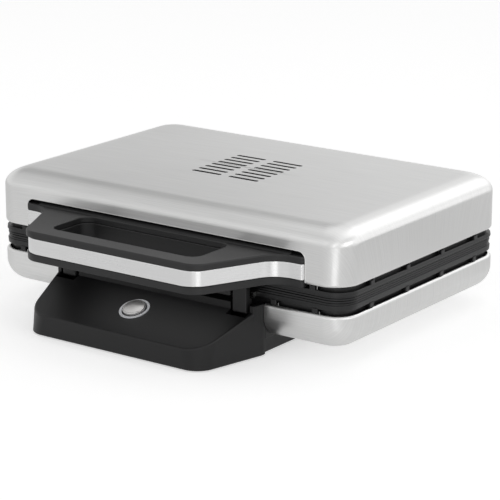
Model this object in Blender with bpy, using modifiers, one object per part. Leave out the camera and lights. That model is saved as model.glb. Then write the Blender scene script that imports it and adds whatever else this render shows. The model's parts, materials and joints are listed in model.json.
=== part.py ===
"""Sandwich maker for two large toasts, with a hinged steel lid, a ring handle, a locking clip and a push button.

Units are metres and +Z is up. Every piece is drawn in the frame of the cooking body: X across it, Y from the
handle to the hinge, Z above the table, with the origin on the table under the middle of the body. An empty
carries that frame to the middle of the whole object's footprint. The lid, the locking clip and the button
each hang on an empty of their own that stands on the axis they move about.
"""

import math

import bmesh
import bpy
from mathutils import Matrix, Vector

# Fits and facets
FIT = 0.0003
OVERRUN = 0.003
WELD = 0.000002
ARC_STEP = math.radians(22.5)
SLOT_ARC_STEP = math.radians(45)
ROUND_SIDES = 20
SMALL_SIDES = 12

# Cooking body, with heights counted up from the table
BODY_WIDTH = 0.300
BODY_DEPTH = 0.2024
BODY_CORNER = 0.018
SHEET = 0.0008
GROUND_GAP = 0.0127
BASE_SHELL_HEIGHT = 0.0242
BASE_GAP = 0.0034
BASE_BAND = 0.0067
PARTING_GAP = 0.0004
LID_BAND = 0.0056
LID_GAP = 0.0030
LID_SHELL_HEIGHT = 0.0405
LID_EDGE = 0.021
LID_TOP_CORNER = 0.006
BASE_EDGE = 0.016
BASE_FLOOR_CORNER = 0.006
EDGE_STEPS = 5

BASE_FLOOR = GROUND_GAP
BASE_RIM = BASE_FLOOR + BASE_SHELL_HEIGHT
BASE_BAND_LOW = BASE_RIM + BASE_GAP
BASE_FACE = BASE_BAND_LOW + BASE_BAND
LID_FACE = BASE_FACE + PARTING_GAP
LID_BAND_HIGH = LID_FACE + LID_BAND
LID_RIM = LID_BAND_HIGH + LID_GAP
LID_TOP = LID_RIM + LID_SHELL_HEIGHT
BODY_FRONT = -BODY_DEPTH / 2
BODY_REAR = BODY_DEPTH / 2

# Vent slots in the lid, two columns of them
VENT_LENGTH = 0.0252
VENT_WIDTH = 0.0030
VENT_PITCH = 0.0077
VENT_COLUMN_PITCH = 0.0320
VENT_ROWS = 8
VENT_COLUMNS = 2
SLOT_END_SHARE = 0.45

# Ribbed plastic frames that show as the black band between the steel shells
BAND_INSET = 0.0015
GROOVE_DEPTH = 0.0007
GROOVE_LINE = 0.0004
GROOVE_HALF_WIDTH = 0.0003
LID_STRIP = 0.0027
BASE_STRIP = 0.0037
STRIP_SLOPE = 0.0002
NECK_INSET = 0.0050
NECK_WALL = 0.0025
NECK_HEIGHT = 0.0090
FLANGE_WIDTH = 0.0125
LEDGE_WIDTH = 0.0030
LEDGE_HEIGHT = 0.0020
INNER_CORNER = 0.0040

# Lugs that hold each shell off its frame
LUG_LENGTH = 0.0046
LUG_INSET = 0.0004
SIDE_LUG_INSET = 0.0346
SIDE_LUGS = 4
BASE_INNER_LUG_INSET = 0.0568
BASE_OUTER_LUG_INSET = 0.0240
LID_LUG_INSET = 0.0260
NOTCH_WALL_RISE = 0.0024
NOTCH_WALL_OVERLAP = 0.0060
REAR_LUG_INSET = 0.0380
REAR_LUGS = 5

# Cooking plates
LIP_HEIGHT = 0.0020
PLATE_THICKNESS = 0.0135
PLATE_RIM = 0.0075
MIDDLE_WEB = 0.0090
BED_DEPTH = 0.1400
BED_CORNER = 0.0090
DIAGONAL_WEB = 0.0070
POCKET_DEPTH = 0.0100
POCKET_DRAFT = 0.0045
RIB_HEIGHT = 0.0014
RIB_WIDTH = 0.0030
RIB_PITCH = 0.0160
RIBS_PER_POCKET = 3
RIB_LENGTH_SHARE = 0.34
RIB_SHORTER_SHARE = 0.06

# Heating elements and reflector pans
HEATER_RADIUS = 0.0033
HEATER_WIDTH_SHARE = 0.82
HEATER_DEPTH_SHARE = 0.62
HEATER_BEND = 0.022
HEATER_TAIL_SPACE = 0.040
CLAMP_WIDTH = 0.0100
CLAMP_SHEET = 0.0010
CLAMP_FOOT = 0.0060
PAN_SHEET = 0.0005
PAN_LIP = 0.0015
PAN_DRAFT = 0.0012
PAN_DEPTH = 0.0175
PAN_FLOOR_SLOPE = 0.0060

# Lower electrical pieces
THERMOSTAT_RADIUS = 0.0080
THERMOSTAT_HEIGHT = 0.0060
THERMOSTAT_CAP_RADIUS = 0.0060
FUSE_RADIUS = 0.0021
FUSE_LENGTH = 0.0240
FUSE_LEAD = 0.0008
FUSE_LEAD_LENGTH = 0.0055
FUSE_PLACE_SHARE = 0.22
BLOCK_LENGTH = 0.0300
BLOCK_DEPTH = 0.0140
BLOCK_HEIGHT = 0.0072
BLOCK_POLE_RADIUS = 0.0022
BLOCK_POLES = 3
BLOCK_SETBACK = 0.0330

# Handle, a flat ring of three layers that enters the lid through a notch
NOTCH_WIDTH = 0.2386
NOTCH_HEIGHT = 0.0216
NOTCH_CORNER = 0.0055
HANDLE_REACH = 0.0573
HANDLE_FRONT_WIDTH = 0.1426
HANDLE_FLARE = math.radians(25.6)
HANDLE_RUN = 0.0033
HANDLE_RUN_DRAFT = 0.0004
HANDLE_CORNER = 0.017
HANDLE_NECK_CORNER = 0.0135
HANDLE_LOW = 0.0533
HANDLE_SKIRT = 0.0050
BAND_STRIP_HEIGHT = 0.0109
HANDLE_CAP_HEIGHT = 0.0046
BAND_SHEET = 0.0010
HANDLE_WALL = 0.0020
HANDLE_FLOOR = 0.0018
CORE_WALL = 0.0013
ROOT_CORNER = 0.0015
ROOT_SIDE_GAP = 0.0023
HANDLE_EDGE = 0.0010
WINDOW_FRONT_BAR = 0.0145
WINDOW_WIDTH = 0.1250
WINDOW_CORNER = 0.0085
WINDOW_SETBACK = 0.0030

# Locking clip: two legs on a shaft in the root of the handle, and the keepers that they catch under
CATCH_WIDTH = 0.1310
CATCH_REACH = 0.0103
CATCH_CORNER = 0.0025
LEG_GAP = 0.0019
LEG_WIDTH = 0.0123
LEG_THICKNESS = 0.0046
LEG_LOW = 0.0310
LEG_FRONT_GAP = 0.0010
LEG_SLOT_GAP = 0.0009
SHAFT_RADIUS = 0.0020
SHAFT_HEIGHT = 0.0043
BOSS_RADIUS = 0.0032
TOE_THICKNESS = 0.0036
TOE_RISE = 0.0052
TOE_GAP = 0.0006
KEEPER_REACH = 0.0036
KEEPER_HEIGHT = 0.0034
LEG_ROUND = 0.0012
SADDLE_WIDTH = 0.0060
SADDLE_PLACE = 0.0400
SADDLE_CROWN = 0.0012
SHAFT_END = 0.0020

# Front foot housing
FOOT_REACH = 0.0548
FOOT_FRONT_WIDTH = 0.1474
FOOT_CORNER = 0.015
FOOT_FRONT_HEIGHT = 0.0150
FOOT_SLOPE = math.radians(20.05)
FOOT_SIDE_WALL = 0.0048
FOOT_STEP = 0.0027
FOOT_STEP_LENGTH = 0.0015
FOOT_SINK = 0.0035
FOOT_FLARE_END = 0.0012
FOOT_TAIL = 0.0612
FOOT_TAIL_CORNER = 0.006
FOOT_WALL = 0.0024
FOOT_EDGE = 0.0012
PLATE_LEDGE = 0.0015
WELL_GAP = 0.0016
WELL_OUTER_GAP = 0.0018
WELL_FRONT_GAP = 0.0045
WELL_FLOOR = 0.0180
WELL_SILL = 0.0335
FLOOR_PLATE = 0.0028
PAD_RADIUS = 0.0055
PAD_HEIGHT = 0.0022
PAD_PROUD = 0.0008
PAD_SETBACK = 0.0130
PAD_EDGE = 0.0006

# Push button with its light ring, switch and lamp board
BUTTON_SETBACK = 0.0260
BUTTON_RADIUS = 0.0083
BUTTON_PROUD = 0.0026
BUTTON_TRAVEL = 0.0020
BUTTON_EDGE = 0.0006
BUTTON_SKIRT = 0.0031
BUTTON_OVERTRAVEL = 0.0012
PLUNGER_RADIUS = 0.0030
PLUNGER_ENTRY = 0.0010
COLLAR_RADIUS = 0.0096
COLLAR_HEIGHT = 0.0010
RING_RADIUS = 0.0112
RING_PROUD = 0.0006
RING_FLANGE = 0.0013
RING_FLANGE_HEIGHT = 0.0015
BOARD_LENGTH = 0.0380
BOARD_DEPTH = 0.0180
BOARD_CORNER = 0.0010
BOARD_SHEET = 0.0012
BOARD_HOLE = 0.0042
POST_RADIUS = 0.0024
POST_PLACE = 0.0162
SWITCH_LENGTH = 0.0150
SWITCH_DEPTH = 0.0120
SWITCH_HEIGHT = 0.0085

# Rear feet
REAR_FOOT_RADIUS = 0.0100
REAR_FOOT_TAPER = 0.0015
REAR_FOOT_INSET = 0.0600
REAR_FOOT_SETBACK = 0.0262
PEG_RADIUS = 0.0040
PEG_HEIGHT = 0.0030

# Hinges
HINGE_SETBACK = 0.0063
HINGE_RADIUS = 0.0060
HINGE_INSET = 0.0600
PIN_END_GAP = 0.0003
EAR_WIDTH = 0.0070
ARM_WIDTH = 0.0150
PIN_RADIUS = 0.0020
PIN_HEAD = 0.0011
PIN_HEAD_RADIUS = 0.0034
EAR_ROOT_DROP = 0.0012
EAR_ROOT_HEIGHT = 0.0038
ARM_ROOT_RISE = 0.0012
ARM_ROOT_HEIGHT = 0.0038
ROOT_SINK = 0.0010

# Cord gland in the rear wall
GLAND_HEIGHT = 0.0298
GLAND_RADIUS = 0.0045
GLAND_BORE = 0.0033
GLAND_FLANGE = 0.0015
GLAND_FLANGE_RADIUS = 0.0064
GLAND_LENGTH = 0.0080
GLAND_INNER = 0.0037

# Places that follow from the sizes above
HANDLE_FRONT = BODY_FRONT - HANDLE_REACH
SIDE_LUG_PITCH = (BODY_DEPTH - 2 * SIDE_LUG_INSET) / (SIDE_LUGS - 1)
REAR_LUG_PITCH = (BODY_WIDTH - 2 * REAR_LUG_INSET) / (REAR_LUGS - 1)
BASE_LUG_PLACES = (BODY_WIDTH / 2 - BASE_INNER_LUG_INSET, BODY_WIDTH / 2 - BASE_OUTER_LUG_INSET)
LID_LUG_PLACES = (BODY_WIDTH / 2 - LID_LUG_INSET,)
REAR_FOOT_SPREAD = BODY_WIDTH / 2 - REAR_FOOT_INSET
HINGE_SPREAD = BODY_WIDTH / 2 - HINGE_INSET
HINGE_Y = BODY_REAR + HINGE_SETBACK
HINGE_Z = (BASE_FACE + LID_FACE) / 2
BODY_Y = (-HANDLE_FRONT - HINGE_Y - HINGE_RADIUS) / 2
NECK_FRONT = BODY_FRONT + NECK_INSET
ROOT_REAR = NECK_FRONT - FIT
HANDLE_BAND_LOW = HANDLE_LOW + HANDLE_SKIRT + FIT
HANDLE_BAND_HIGH = HANDLE_BAND_LOW + BAND_STRIP_HEIGHT
HANDLE_CAP_LOW = HANDLE_BAND_HIGH + FIT
HANDLE_TOP = HANDLE_CAP_LOW + HANDLE_CAP_HEIGHT
FLANGE_INSET = BAND_INSET + FLANGE_WIDTH
PLATE_INSET = FLANGE_INSET + LEDGE_WIDTH + FIT
CATCH_FRONT = BODY_FRONT + BAND_INSET - CATCH_REACH
LEG_INNER = CATCH_WIDTH / 2 + LEG_GAP
LEG_FRONT = CATCH_FRONT - LEG_FRONT_GAP
KEEPER_REAR = BODY_FRONT + BAND_INSET - FIT
KEEPER_FRONT = KEEPER_REAR - KEEPER_REACH
SHAFT_Z = HANDLE_LOW + SHAFT_HEIGHT
WINDOW_REAR = BODY_FRONT - WINDOW_SETBACK
SHAFT_Y = (WINDOW_REAR + ROOT_REAR) / 2
FOOT_FRONT = BODY_FRONT - FOOT_REACH
FOOT_LOW = PAD_PROUD
FOOT_TOP = BASE_RIM - FIT
WELL_INNER = LEG_INNER - WELL_GAP
WELL_OUTER = LEG_INNER + LEG_WIDTH + WELL_OUTER_GAP
FOOT_REAR_HALF = WELL_OUTER + FOOT_SIDE_WALL
FOOT_FLARE_REAR = BODY_FRONT - FOOT_FLARE_END
FOOT_BACK = BODY_FRONT + FOOT_SINK
FOOT_TAIL_END = BODY_FRONT + FOOT_TAIL
FOOT_TAIL_TOP = GROUND_GAP - FIT
COLLAR_TOP = FOOT_WALL + RING_FLANGE_HEIGHT + 2 * FIT
BOARD_DROP = COLLAR_TOP + COLLAR_HEIGHT + BUTTON_TRAVEL + FIT
SWITCH_DROP = BOARD_DROP + BOARD_SHEET + FIT
PLUNGER_END = SWITCH_DROP + PLUNGER_ENTRY
SWITCH_BORE_DEPTH = PLUNGER_ENTRY + BUTTON_TRAVEL + BUTTON_OVERTRAVEL
OPENING_HALF = FOOT_REAR_HALF + FIT


def clear_scene():
    """Remove what a new file holds."""
    for item in list(bpy.data.objects):
        bpy.data.objects.remove(item)


def new_collection(name):
    """A collection linked to the scene."""
    group = bpy.data.collections.new(name)
    bpy.context.scene.collection.children.link(group)
    return group


def new_empty(name, place, parent=None):
    """An empty that carries a frame or a joint axis."""
    holder = bpy.data.objects.new(name, None)
    holder.location = place
    holder.empty_display_size = BODY_CORNER
    holder.parent = parent
    PARTS.objects.link(holder)
    return holder


def new_material(name, colour, roughness, metallic=0.0):
    """A plain Principled material."""
    material = bpy.data.materials.new(name)
    material.use_nodes = True
    shader = material.node_tree.nodes["Principled BSDF"]
    shader.inputs["Base Color"].default_value = (*colour, 1.0)
    shader.inputs["Roughness"].default_value = roughness
    shader.inputs["Metallic"].default_value = metallic
    return material


def rounded_outline(corners, closed=True, arc_step=ARC_STEP):
    """Corners of (x, y, radius) as points, each corner an arc tangent to its two sides."""
    points = []
    for index, (x, y, radius) in enumerate(corners):
        here = Vector((x, y))
        end = not closed and index in (0, len(corners) - 1)
        if radius <= 0 or end:
            points.append(here)
            continue
        back = (Vector(corners[index - 1][:2]) - here).normalized()
        ahead = (Vector(corners[(index + 1) % len(corners)][:2]) - here).normalized()
        turn = math.pi - back.angle(ahead)
        centre = here + (back + ahead).normalized() * (radius / math.cos(turn / 2))
        spoke = here + back * (radius * math.tan(turn / 2)) - centre
        side = -1 if back.cross(ahead) > 0 else 1
        steps = max(1, round(turn / arc_step))
        for step in range(steps + 1):
            points.append(centre + Matrix.Rotation(side * turn * step / steps, 2) @ spoke)
    return points


def both_sides(corners):
    """The right-hand corners of an outline, front to rear, with their mirror images on the left."""
    return list(corners) + [(-x, y, radius) for x, y, radius in reversed(corners)]


def rectangle(width, depth, radius, x=0.0, y=0.0, arc_step=ARC_STEP):
    """A rounded rectangle about (x, y), always with equally many points for one arc step."""
    right, left = x + width / 2, x - width / 2
    rear, front = y + depth / 2, y - depth / 2
    sides = ((right, front), (right, rear), (left, rear), (left, front))
    return rounded_outline([(a, b, radius) for a, b in sides], arc_step=arc_step)


def circle(radius, x=0.0, y=0.0):
    """A round outline for a small hole."""
    angles = [2 * math.pi * step / SMALL_SIDES for step in range(SMALL_SIDES)]
    return [Vector((x + radius * math.cos(angle), y + radius * math.sin(angle))) for angle in angles]


def body_outline(inset, corner=None):
    """The outline of the cooking body, drawn in by an inset; a deep inset keeps a small corner."""
    radius = max(BODY_CORNER - inset, INNER_CORNER) if corner is None else corner
    return rectangle(BODY_WIDTH - 2 * inset, BODY_DEPTH - 2 * inset, radius)


def drawn_in(points, distance):
    """A closed outline that runs anticlockwise, moved inwards by a distance with mitred corners."""
    moved = []
    for index, here in enumerate(points):
        before = here - points[index - 1]
        after = points[(index + 1) % len(points)] - here
        first = Vector((-before.y, before.x)).normalized()
        second = Vector((-after.y, after.x)).normalized()
        moved.append(here + (first + second) * (distance / (1 + first.dot(second))))
    return moved


def ring_at(points, height):
    """An outline lifted to a height, as one ring of a loft."""
    return [(point[0], point[1], height) for point in points]


def new_object(name, mesh):
    """An object in the frame of the cooking body, not yet in a collection."""
    item = bpy.data.objects.new(name, mesh)
    item.parent = BODY
    return item


def closed_mesh(name, shape):
    """A bmesh welded, with its faces turned outwards, as a mesh."""
    bmesh.ops.remove_doubles(shape, verts=shape.verts, dist=WELD)
    bmesh.ops.recalc_face_normals(shape, faces=shape.faces)
    mesh = bpy.data.meshes.new(name)
    shape.to_mesh(mesh)
    shape.free()
    return mesh


def from_curve(name, curve, matrix):
    """A filled or bevelled curve made a closed mesh object."""
    holder = bpy.data.objects.new(name, curve)
    bpy.context.scene.collection.objects.link(holder)
    holder.matrix_world = matrix
    bpy.context.view_layer.update()
    evaluated = holder.evaluated_get(bpy.context.evaluated_depsgraph_get())
    loose = bpy.data.meshes.new_from_object(evaluated)
    shape = bmesh.new()
    shape.from_mesh(loose)
    shape.transform(matrix)
    bpy.data.objects.remove(holder)
    bpy.data.meshes.remove(loose)
    return new_object(name, closed_mesh(name, shape))


def prism(name, outlines, low, high, matrix=None):
    """A flat outline, with any holes as further outlines, extruded from low to high along its own Z."""
    curve = bpy.data.curves.new(name, "CURVE")
    curve.dimensions = "2D"
    curve.fill_mode = "BOTH"
    curve.extrude = (high - low) / 2
    for points in outlines:
        spline = curve.splines.new("POLY")
        spline.points.add(len(points) - 1)
        spline.use_cyclic_u = True
        for knot, point in zip(spline.points, points):
            knot.co = (point[0], point[1], 0, 1)
    middle = Matrix.Translation((0, 0, (low + high) / 2))
    return from_curve(name, curve, (matrix or Matrix.Identity(4)) @ middle)


SIDE_VIEW = Matrix(((0, 0, 1, 0), (1, 0, 0, 0), (0, 1, 0, 0), (0, 0, 0, 1)))


def side_prism(name, outlines, left, right):
    """An outline drawn in (y, z), extruded across the body from left to right."""
    return prism(name, outlines, left, right, SIDE_VIEW)


def box(name, low, high):
    """A block between two corners."""
    shape = bmesh.new()
    bmesh.ops.create_cube(shape, size=1)
    size = Vector(high) - Vector(low)
    bmesh.ops.scale(shape, vec=size, verts=shape.verts)
    bmesh.ops.translate(shape, vec=Vector(low) + size / 2, verts=shape.verts)
    return new_object(name, closed_mesh(name, shape))


def cylinder(name, radius, low, high, matrix=None, sides=ROUND_SIDES):
    """A round bar from low to high along the Z axis of its matrix."""
    shape = bmesh.new()
    bmesh.ops.create_cone(shape, cap_ends=True, segments=sides, radius1=radius, radius2=radius, depth=high - low)
    bmesh.ops.translate(shape, vec=(0, 0, (low + high) / 2), verts=shape.verts)
    shape.transform(matrix or Matrix.Identity(4))
    return new_object(name, closed_mesh(name, shape))


def across(x, y, z):
    """The frame of a round bar that runs along X through a point."""
    return Matrix.Translation((x, y, z)) @ SIDE_VIEW


def turned(name, profile, matrix, sides=ROUND_SIDES, ring=False):
    """A profile of (radius, height) points turned about the Z axis of its matrix by a Screw modifier."""
    mesh = bpy.data.meshes.new(name)
    places = [(radius, 0, height) for radius, height in profile]
    edges = [(index, index + 1) for index in range(len(places) - 1)]
    if ring:
        edges.append((len(places) - 1, 0))
    mesh.from_pydata(places, edges, [])
    item = new_object(name, mesh)
    item.matrix_local = matrix
    screw = item.modifiers.new("turn", "SCREW")
    screw.axis = "Z"
    screw.steps = sides
    screw.render_steps = sides
    screw.use_merge_vertices = True
    screw.merge_threshold = WELD
    screw.use_smooth_shade = False
    return item


def loft(name, rings, joined=False, caps=True):
    """A skin through rings of equally many points; joined closes it on itself, caps fill its two ends."""
    count = len(rings[0])
    last = len(rings) if joined else len(rings) - 1
    faces = []
    for level in range(last):
        first = level * count
        second = (level + 1) % len(rings) * count
        for index in range(count):
            following = (index + 1) % count
            faces.append((first + index, first + following, second + following, second + index))
    if caps and not joined:
        faces.append(tuple(reversed(range(count))))
        faces.append(tuple(range((len(rings) - 1) * count, len(rings) * count)))
    mesh = bpy.data.meshes.new(name)
    mesh.from_pydata([point for ring in rings for point in ring], [], faces)
    shape = bmesh.new()
    shape.from_mesh(mesh)
    bpy.data.meshes.remove(mesh)
    return new_object(name, closed_mesh(name, shape))


def tube(name, points, radius):
    """A round bar along a line of points, made from a bevelled curve with filled ends."""
    curve = bpy.data.curves.new(name, "CURVE")
    curve.dimensions = "3D"
    curve.bevel_depth = radius
    curve.bevel_resolution = 2
    curve.use_fill_caps = True
    spline = curve.splines.new("POLY")
    spline.points.add(len(points) - 1)
    for knot, point in zip(spline.points, points):
        knot.co = (*point, 1)
    return from_curve(name, curve, Matrix.Identity(4))


def soften(item, height, width, steps=2):
    """Round the edges that lie at one height of a prism."""
    shape = bmesh.new()
    shape.from_mesh(item.data)
    level = [edge for edge in shape.edges if all(abs(end.co.z - height) < WELD for end in edge.verts)]
    rim = [edge for edge in level if edge.calc_face_angle(0) > ARC_STEP]
    bmesh.ops.bevel(shape, geom=rim, offset=width, segments=steps, profile=0.5, affect="EDGES")
    shape.to_mesh(item.data)
    shape.free()
    return item


def joined_mesh(name, items):
    """Separate blocks gathered in one object, to cut or to fuse in one step."""
    shape = bmesh.new()
    for item in items:
        shape.from_mesh(item.data)
        bpy.data.objects.remove(item)
    mesh = bpy.data.meshes.new(name)
    shape.to_mesh(mesh)
    shape.free()
    return new_object(name, mesh)


def combine(item, tool, operation):
    """Put a Boolean modifier on a piece, with its tool kept in the cutters' collection."""
    CUTTERS.objects.link(tool)
    tool.hide_render = True
    tool.display_type = "WIRE"
    change = item.modifiers.new(tool.name, "BOOLEAN")
    change.operation = operation
    change.solver = "EXACT"
    change.object = tool
    return item


def cut(item, tool):
    """Cut a tool out of a piece."""
    return combine(item, tool, "DIFFERENCE")


def fuse(item, tool):
    """Fuse a tool to a piece."""
    return combine(item, tool, "UNION")


def piece(item, material, owner=None):
    """Finish a named piece: its material, its collection, and the empty that it moves with."""
    item.data.materials.clear()
    item.data.materials.append(material)
    PARTS.objects.link(item)
    if owner is not None:
        item.parent = owner
        item.location = item.location - place_on_body(owner)
    return item


def place_on_body(owner):
    """Where an empty stands in the frame of the cooking body."""
    place = Vector((0, 0, 0))
    while owner != BODY:
        place = place + owner.location
        owner = owner.parent
    return place


def skin_rings(rim, far, edge, corner):
    """Rings of a pressed shell, from its rim straight to the edge radius and round it to the flat face."""
    up = 1 if far > rim else -1
    rings = [ring_at(body_outline(0), rim)]
    for step in range(EDGE_STEPS + 1):
        angle = math.pi / 2 * step / EDGE_STEPS
        inset = edge * (1 - math.cos(angle))
        radius = BODY_CORNER + (corner - BODY_CORNER) * inset / edge
        rings.append(ring_at(body_outline(inset, radius), far - up * edge * (1 - math.sin(angle))))
    return rings


def pressed_shell(name, rings):
    """Rings lofted to an open skin with a closed far face, given its sheet thickness inwards."""
    item = loft(name, rings, caps=False)
    shape = bmesh.new()
    shape.from_mesh(item.data)
    ends = [edge for edge in shape.edges if edge.is_boundary]
    far = rings[-1][0][2]
    bmesh.ops.contextual_create(shape, geom=[e for e in ends if abs(e.verts[0].co.z - far) < WELD])
    bmesh.ops.recalc_face_normals(shape, faces=shape.faces)
    middle = Vector((0, 0, (rings[0][0][2] + far) / 2))
    outer = max(shape.faces, key=lambda face: abs(face.calc_center_median().x))
    if outer.normal.dot(outer.calc_center_median() - middle) < 0:
        bmesh.ops.reverse_faces(shape, faces=shape.faces)
    shape.to_mesh(item.data)
    shape.free()
    wall = item.modifiers.new("sheet", "SOLIDIFY")
    wall.thickness = SHEET
    wall.offset = -1
    wall.use_even_offset = True
    return item


def vent_slots():
    """The sixteen slots of the lid as one cutter."""
    outlines = []
    for column in range(VENT_COLUMNS):
        x = (column - (VENT_COLUMNS - 1) / 2) * VENT_COLUMN_PITCH
        for row in range(VENT_ROWS):
            y = (row - (VENT_ROWS - 1) / 2) * VENT_PITCH
            outlines.append(rectangle(VENT_LENGTH, VENT_WIDTH, VENT_WIDTH * SLOT_END_SHARE, x, y, SLOT_ARC_STEP))
    slots = [prism("slot", [points], LID_TOP - SHEET - OVERRUN, LID_TOP + OVERRUN) for points in outlines]
    return joined_mesh("vent_slots", slots)


def lid_shell():
    """The brushed steel lid, with its vents and the notch that the handle enters through."""
    shell = pressed_shell("lid_shell", skin_rings(LID_RIM, LID_TOP, LID_EDGE, LID_TOP_CORNER))
    cut(shell, vent_slots())
    half = NOTCH_WIDTH / 2
    top = LID_RIM + NOTCH_HEIGHT
    bottom = LID_RIM - OVERRUN
    corners = both_sides([(half, bottom, 0), (half, top, NOTCH_CORNER)])
    facing = Matrix(((1, 0, 0, 0), (0, 0, 1, 0), (0, 1, 0, 0), (0, 0, 0, 1)))
    cut(shell, prism("lid_notch", [rounded_outline(corners)], BODY_FRONT - OVERRUN, NECK_FRONT, facing))
    return piece(shell, STEEL, LID)


def base_shell():
    """The brushed steel tray of the base, open at the front for the foot housing."""
    shell = pressed_shell("base_shell", skin_rings(BASE_RIM, BASE_FLOOR, BASE_EDGE, BASE_FLOOR_CORNER))
    low = (-OPENING_HALF, BODY_FRONT - OVERRUN, BASE_FLOOR - OVERRUN)
    cut(shell, box("front_opening", low, (OPENING_HALF, BODY_FRONT + BASE_EDGE, BASE_RIM + OVERRUN)))
    pegs = []
    for side in (-1, 1):
        place = Matrix.Translation((side * REAR_FOOT_SPREAD, BODY_REAR - REAR_FOOT_SETBACK, BASE_FLOOR))
        pegs.append(cylinder("peg", PEG_RADIUS + FIT, -OVERRUN, OVERRUN, place, SMALL_SIDES))
    cut(shell, joined_mesh("foot_holes", pegs))
    place = gland_frame()
    cut(shell, cylinder("gland_hole", GLAND_RADIUS + FIT, -GLAND_LENGTH, GLAND_LENGTH, place))
    return piece(shell, STEEL)


def frame_profile(face, away, strip, height, neck):
    """The section of a plastic frame as (inset, z), from its parting face away to its neck."""
    groove = BAND_INSET + GROOVE_DEPTH
    line = face + away * (height - strip) / 2
    step = face + away * (height - strip)
    far = face + away * height
    return [
        (groove, face),
        (groove, line - away * GROOVE_HALF_WIDTH),
        (groove + GROOVE_LINE, line),
        (groove, line + away * GROOVE_HALF_WIDTH),
        (groove, step - away * GROOVE_DEPTH / 2),
        (BAND_INSET, step),
        (BAND_INSET + STRIP_SLOPE, far),
        (NECK_INSET, far),
        (NECK_INSET, far + away * neck),
        (NECK_INSET + NECK_WALL, far + away * neck),
        (NECK_INSET + NECK_WALL, far),
        (FLANGE_INSET, far),
        (FLANGE_INSET, face + away * LEDGE_HEIGHT),
        (FLANGE_INSET + LEDGE_WIDTH, face + away * LEDGE_HEIGHT),
        (FLANGE_INSET + LEDGE_WIDTH, face),
    ]


def frame_lugs(name, near, far, front_places):
    """The small lugs round a frame that keep its shell at an even distance."""
    low, high = sorted((near, far))
    length = LUG_LENGTH / 2
    inner = NECK_INSET + NECK_WALL / 2
    blocks = []
    for side in (-1, 1):
        for index in range(SIDE_LUGS):
            y = (index - (SIDE_LUGS - 1) / 2) * SIDE_LUG_PITCH
            ends = sorted((side * (BODY_WIDTH / 2 - LUG_INSET), side * (BODY_WIDTH / 2 - inner)))
            blocks.append(box("lug", (ends[0], y - length, low), (ends[1], y + length, high)))
        for x in front_places:
            start = (side * x - length, BODY_FRONT + LUG_INSET, low)
            blocks.append(box("lug", start, (side * x + length, BODY_FRONT + inner, high)))
    for index in range(REAR_LUGS):
        x = (index - (REAR_LUGS - 1) / 2) * REAR_LUG_PITCH
        start = (x - length, BODY_REAR - inner, low)
        blocks.append(box("lug", start, (x + length, BODY_REAR - LUG_INSET, high)))
    return joined_mesh(name, blocks)


def catch_block(name, low, high):
    """The block in the middle of a frame's front that the locking clip's legs flank."""
    half = CATCH_WIDTH / 2
    rear = BODY_FRONT + BAND_INSET + GROOVE_DEPTH + GROOVE_LINE + STRIP_SLOPE
    corners = both_sides([(half, CATCH_FRONT, CATCH_CORNER), (half, rear, 0)])
    return prism(name, [rounded_outline(corners)], low, high)


def knuckle(name, left, right, root_low, root_high):
    """A hinge knuckle with its web, drawn from the side: a round end on the pin, tangent to its root."""
    root = BODY_REAR - BAND_INSET - GROOVE_DEPTH - ROOT_SINK
    centre = Vector((HINGE_Y, HINGE_Z))
    low, high = Vector((root, root_low)), Vector((root, root_high))
    points = [low]
    start = tangent_angle(centre, low, 1)
    end = tangent_angle(centre, high, -1)
    steps = round((end - start) / ARC_STEP)
    for step in range(steps + 1):
        angle = start + (end - start) * step / steps
        points.append(centre + Vector((math.cos(angle), math.sin(angle))) * HINGE_RADIUS)
    points.append(high)
    return side_prism(name, [points], left, right)


def tangent_angle(centre, point, side):
    """Where a line from a point touches the round end of a knuckle."""
    away = point - centre
    lean = math.acos(HINGE_RADIUS / away.length)
    angle = math.atan2(away.y, away.x) % (2 * math.pi)
    return angle + side * lean - (2 * math.pi if side > 0 else 0)


def hinge_bores(name):
    """The holes for both hinge pins as one cutter."""
    reach = ARM_WIDTH / 2 + EAR_WIDTH + OVERRUN
    bores = []
    for side in (-1, 1):
        place = across(side * HINGE_SPREAD, HINGE_Y, HINGE_Z)
        bores.append(cylinder("bore", PIN_RADIUS + FIT, -reach, reach, place))
    return joined_mesh(name, bores)


def base_frame():
    """The ribbed lower frame, with its catch block, its lugs and the two forks of the hinge."""
    profile = frame_profile(BASE_FACE, -1, BASE_STRIP, BASE_BAND, NECK_HEIGHT)
    frame = loft("base_frame", [ring_at(body_outline(inset), z) for inset, z in profile], joined=True)
    fuse(frame, frame_lugs("base_lugs", BASE_BAND_LOW + LEDGE_HEIGHT / 2, BASE_RIM + FIT, BASE_LUG_PLACES))
    fuse(frame, catch_block("base_catch", BASE_BAND_LOW + STRIP_SLOPE, BASE_FACE - STRIP_SLOPE))
    ears = []
    high = BASE_FACE - EAR_ROOT_DROP
    for side in (-1, 1):
        for outer in (-1, 1):
            middle = side * HINGE_SPREAD + outer * (ARM_WIDTH + EAR_WIDTH + 2 * FIT) / 2
            ears.append(knuckle("ear", middle - EAR_WIDTH / 2, middle + EAR_WIDTH / 2, high - EAR_ROOT_HEIGHT, high))
    fuse(frame, joined_mesh("hinge_ears", ears))
    cut(frame, hinge_bores("base_hinge_bores"))
    return piece(frame, PLASTIC)


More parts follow.
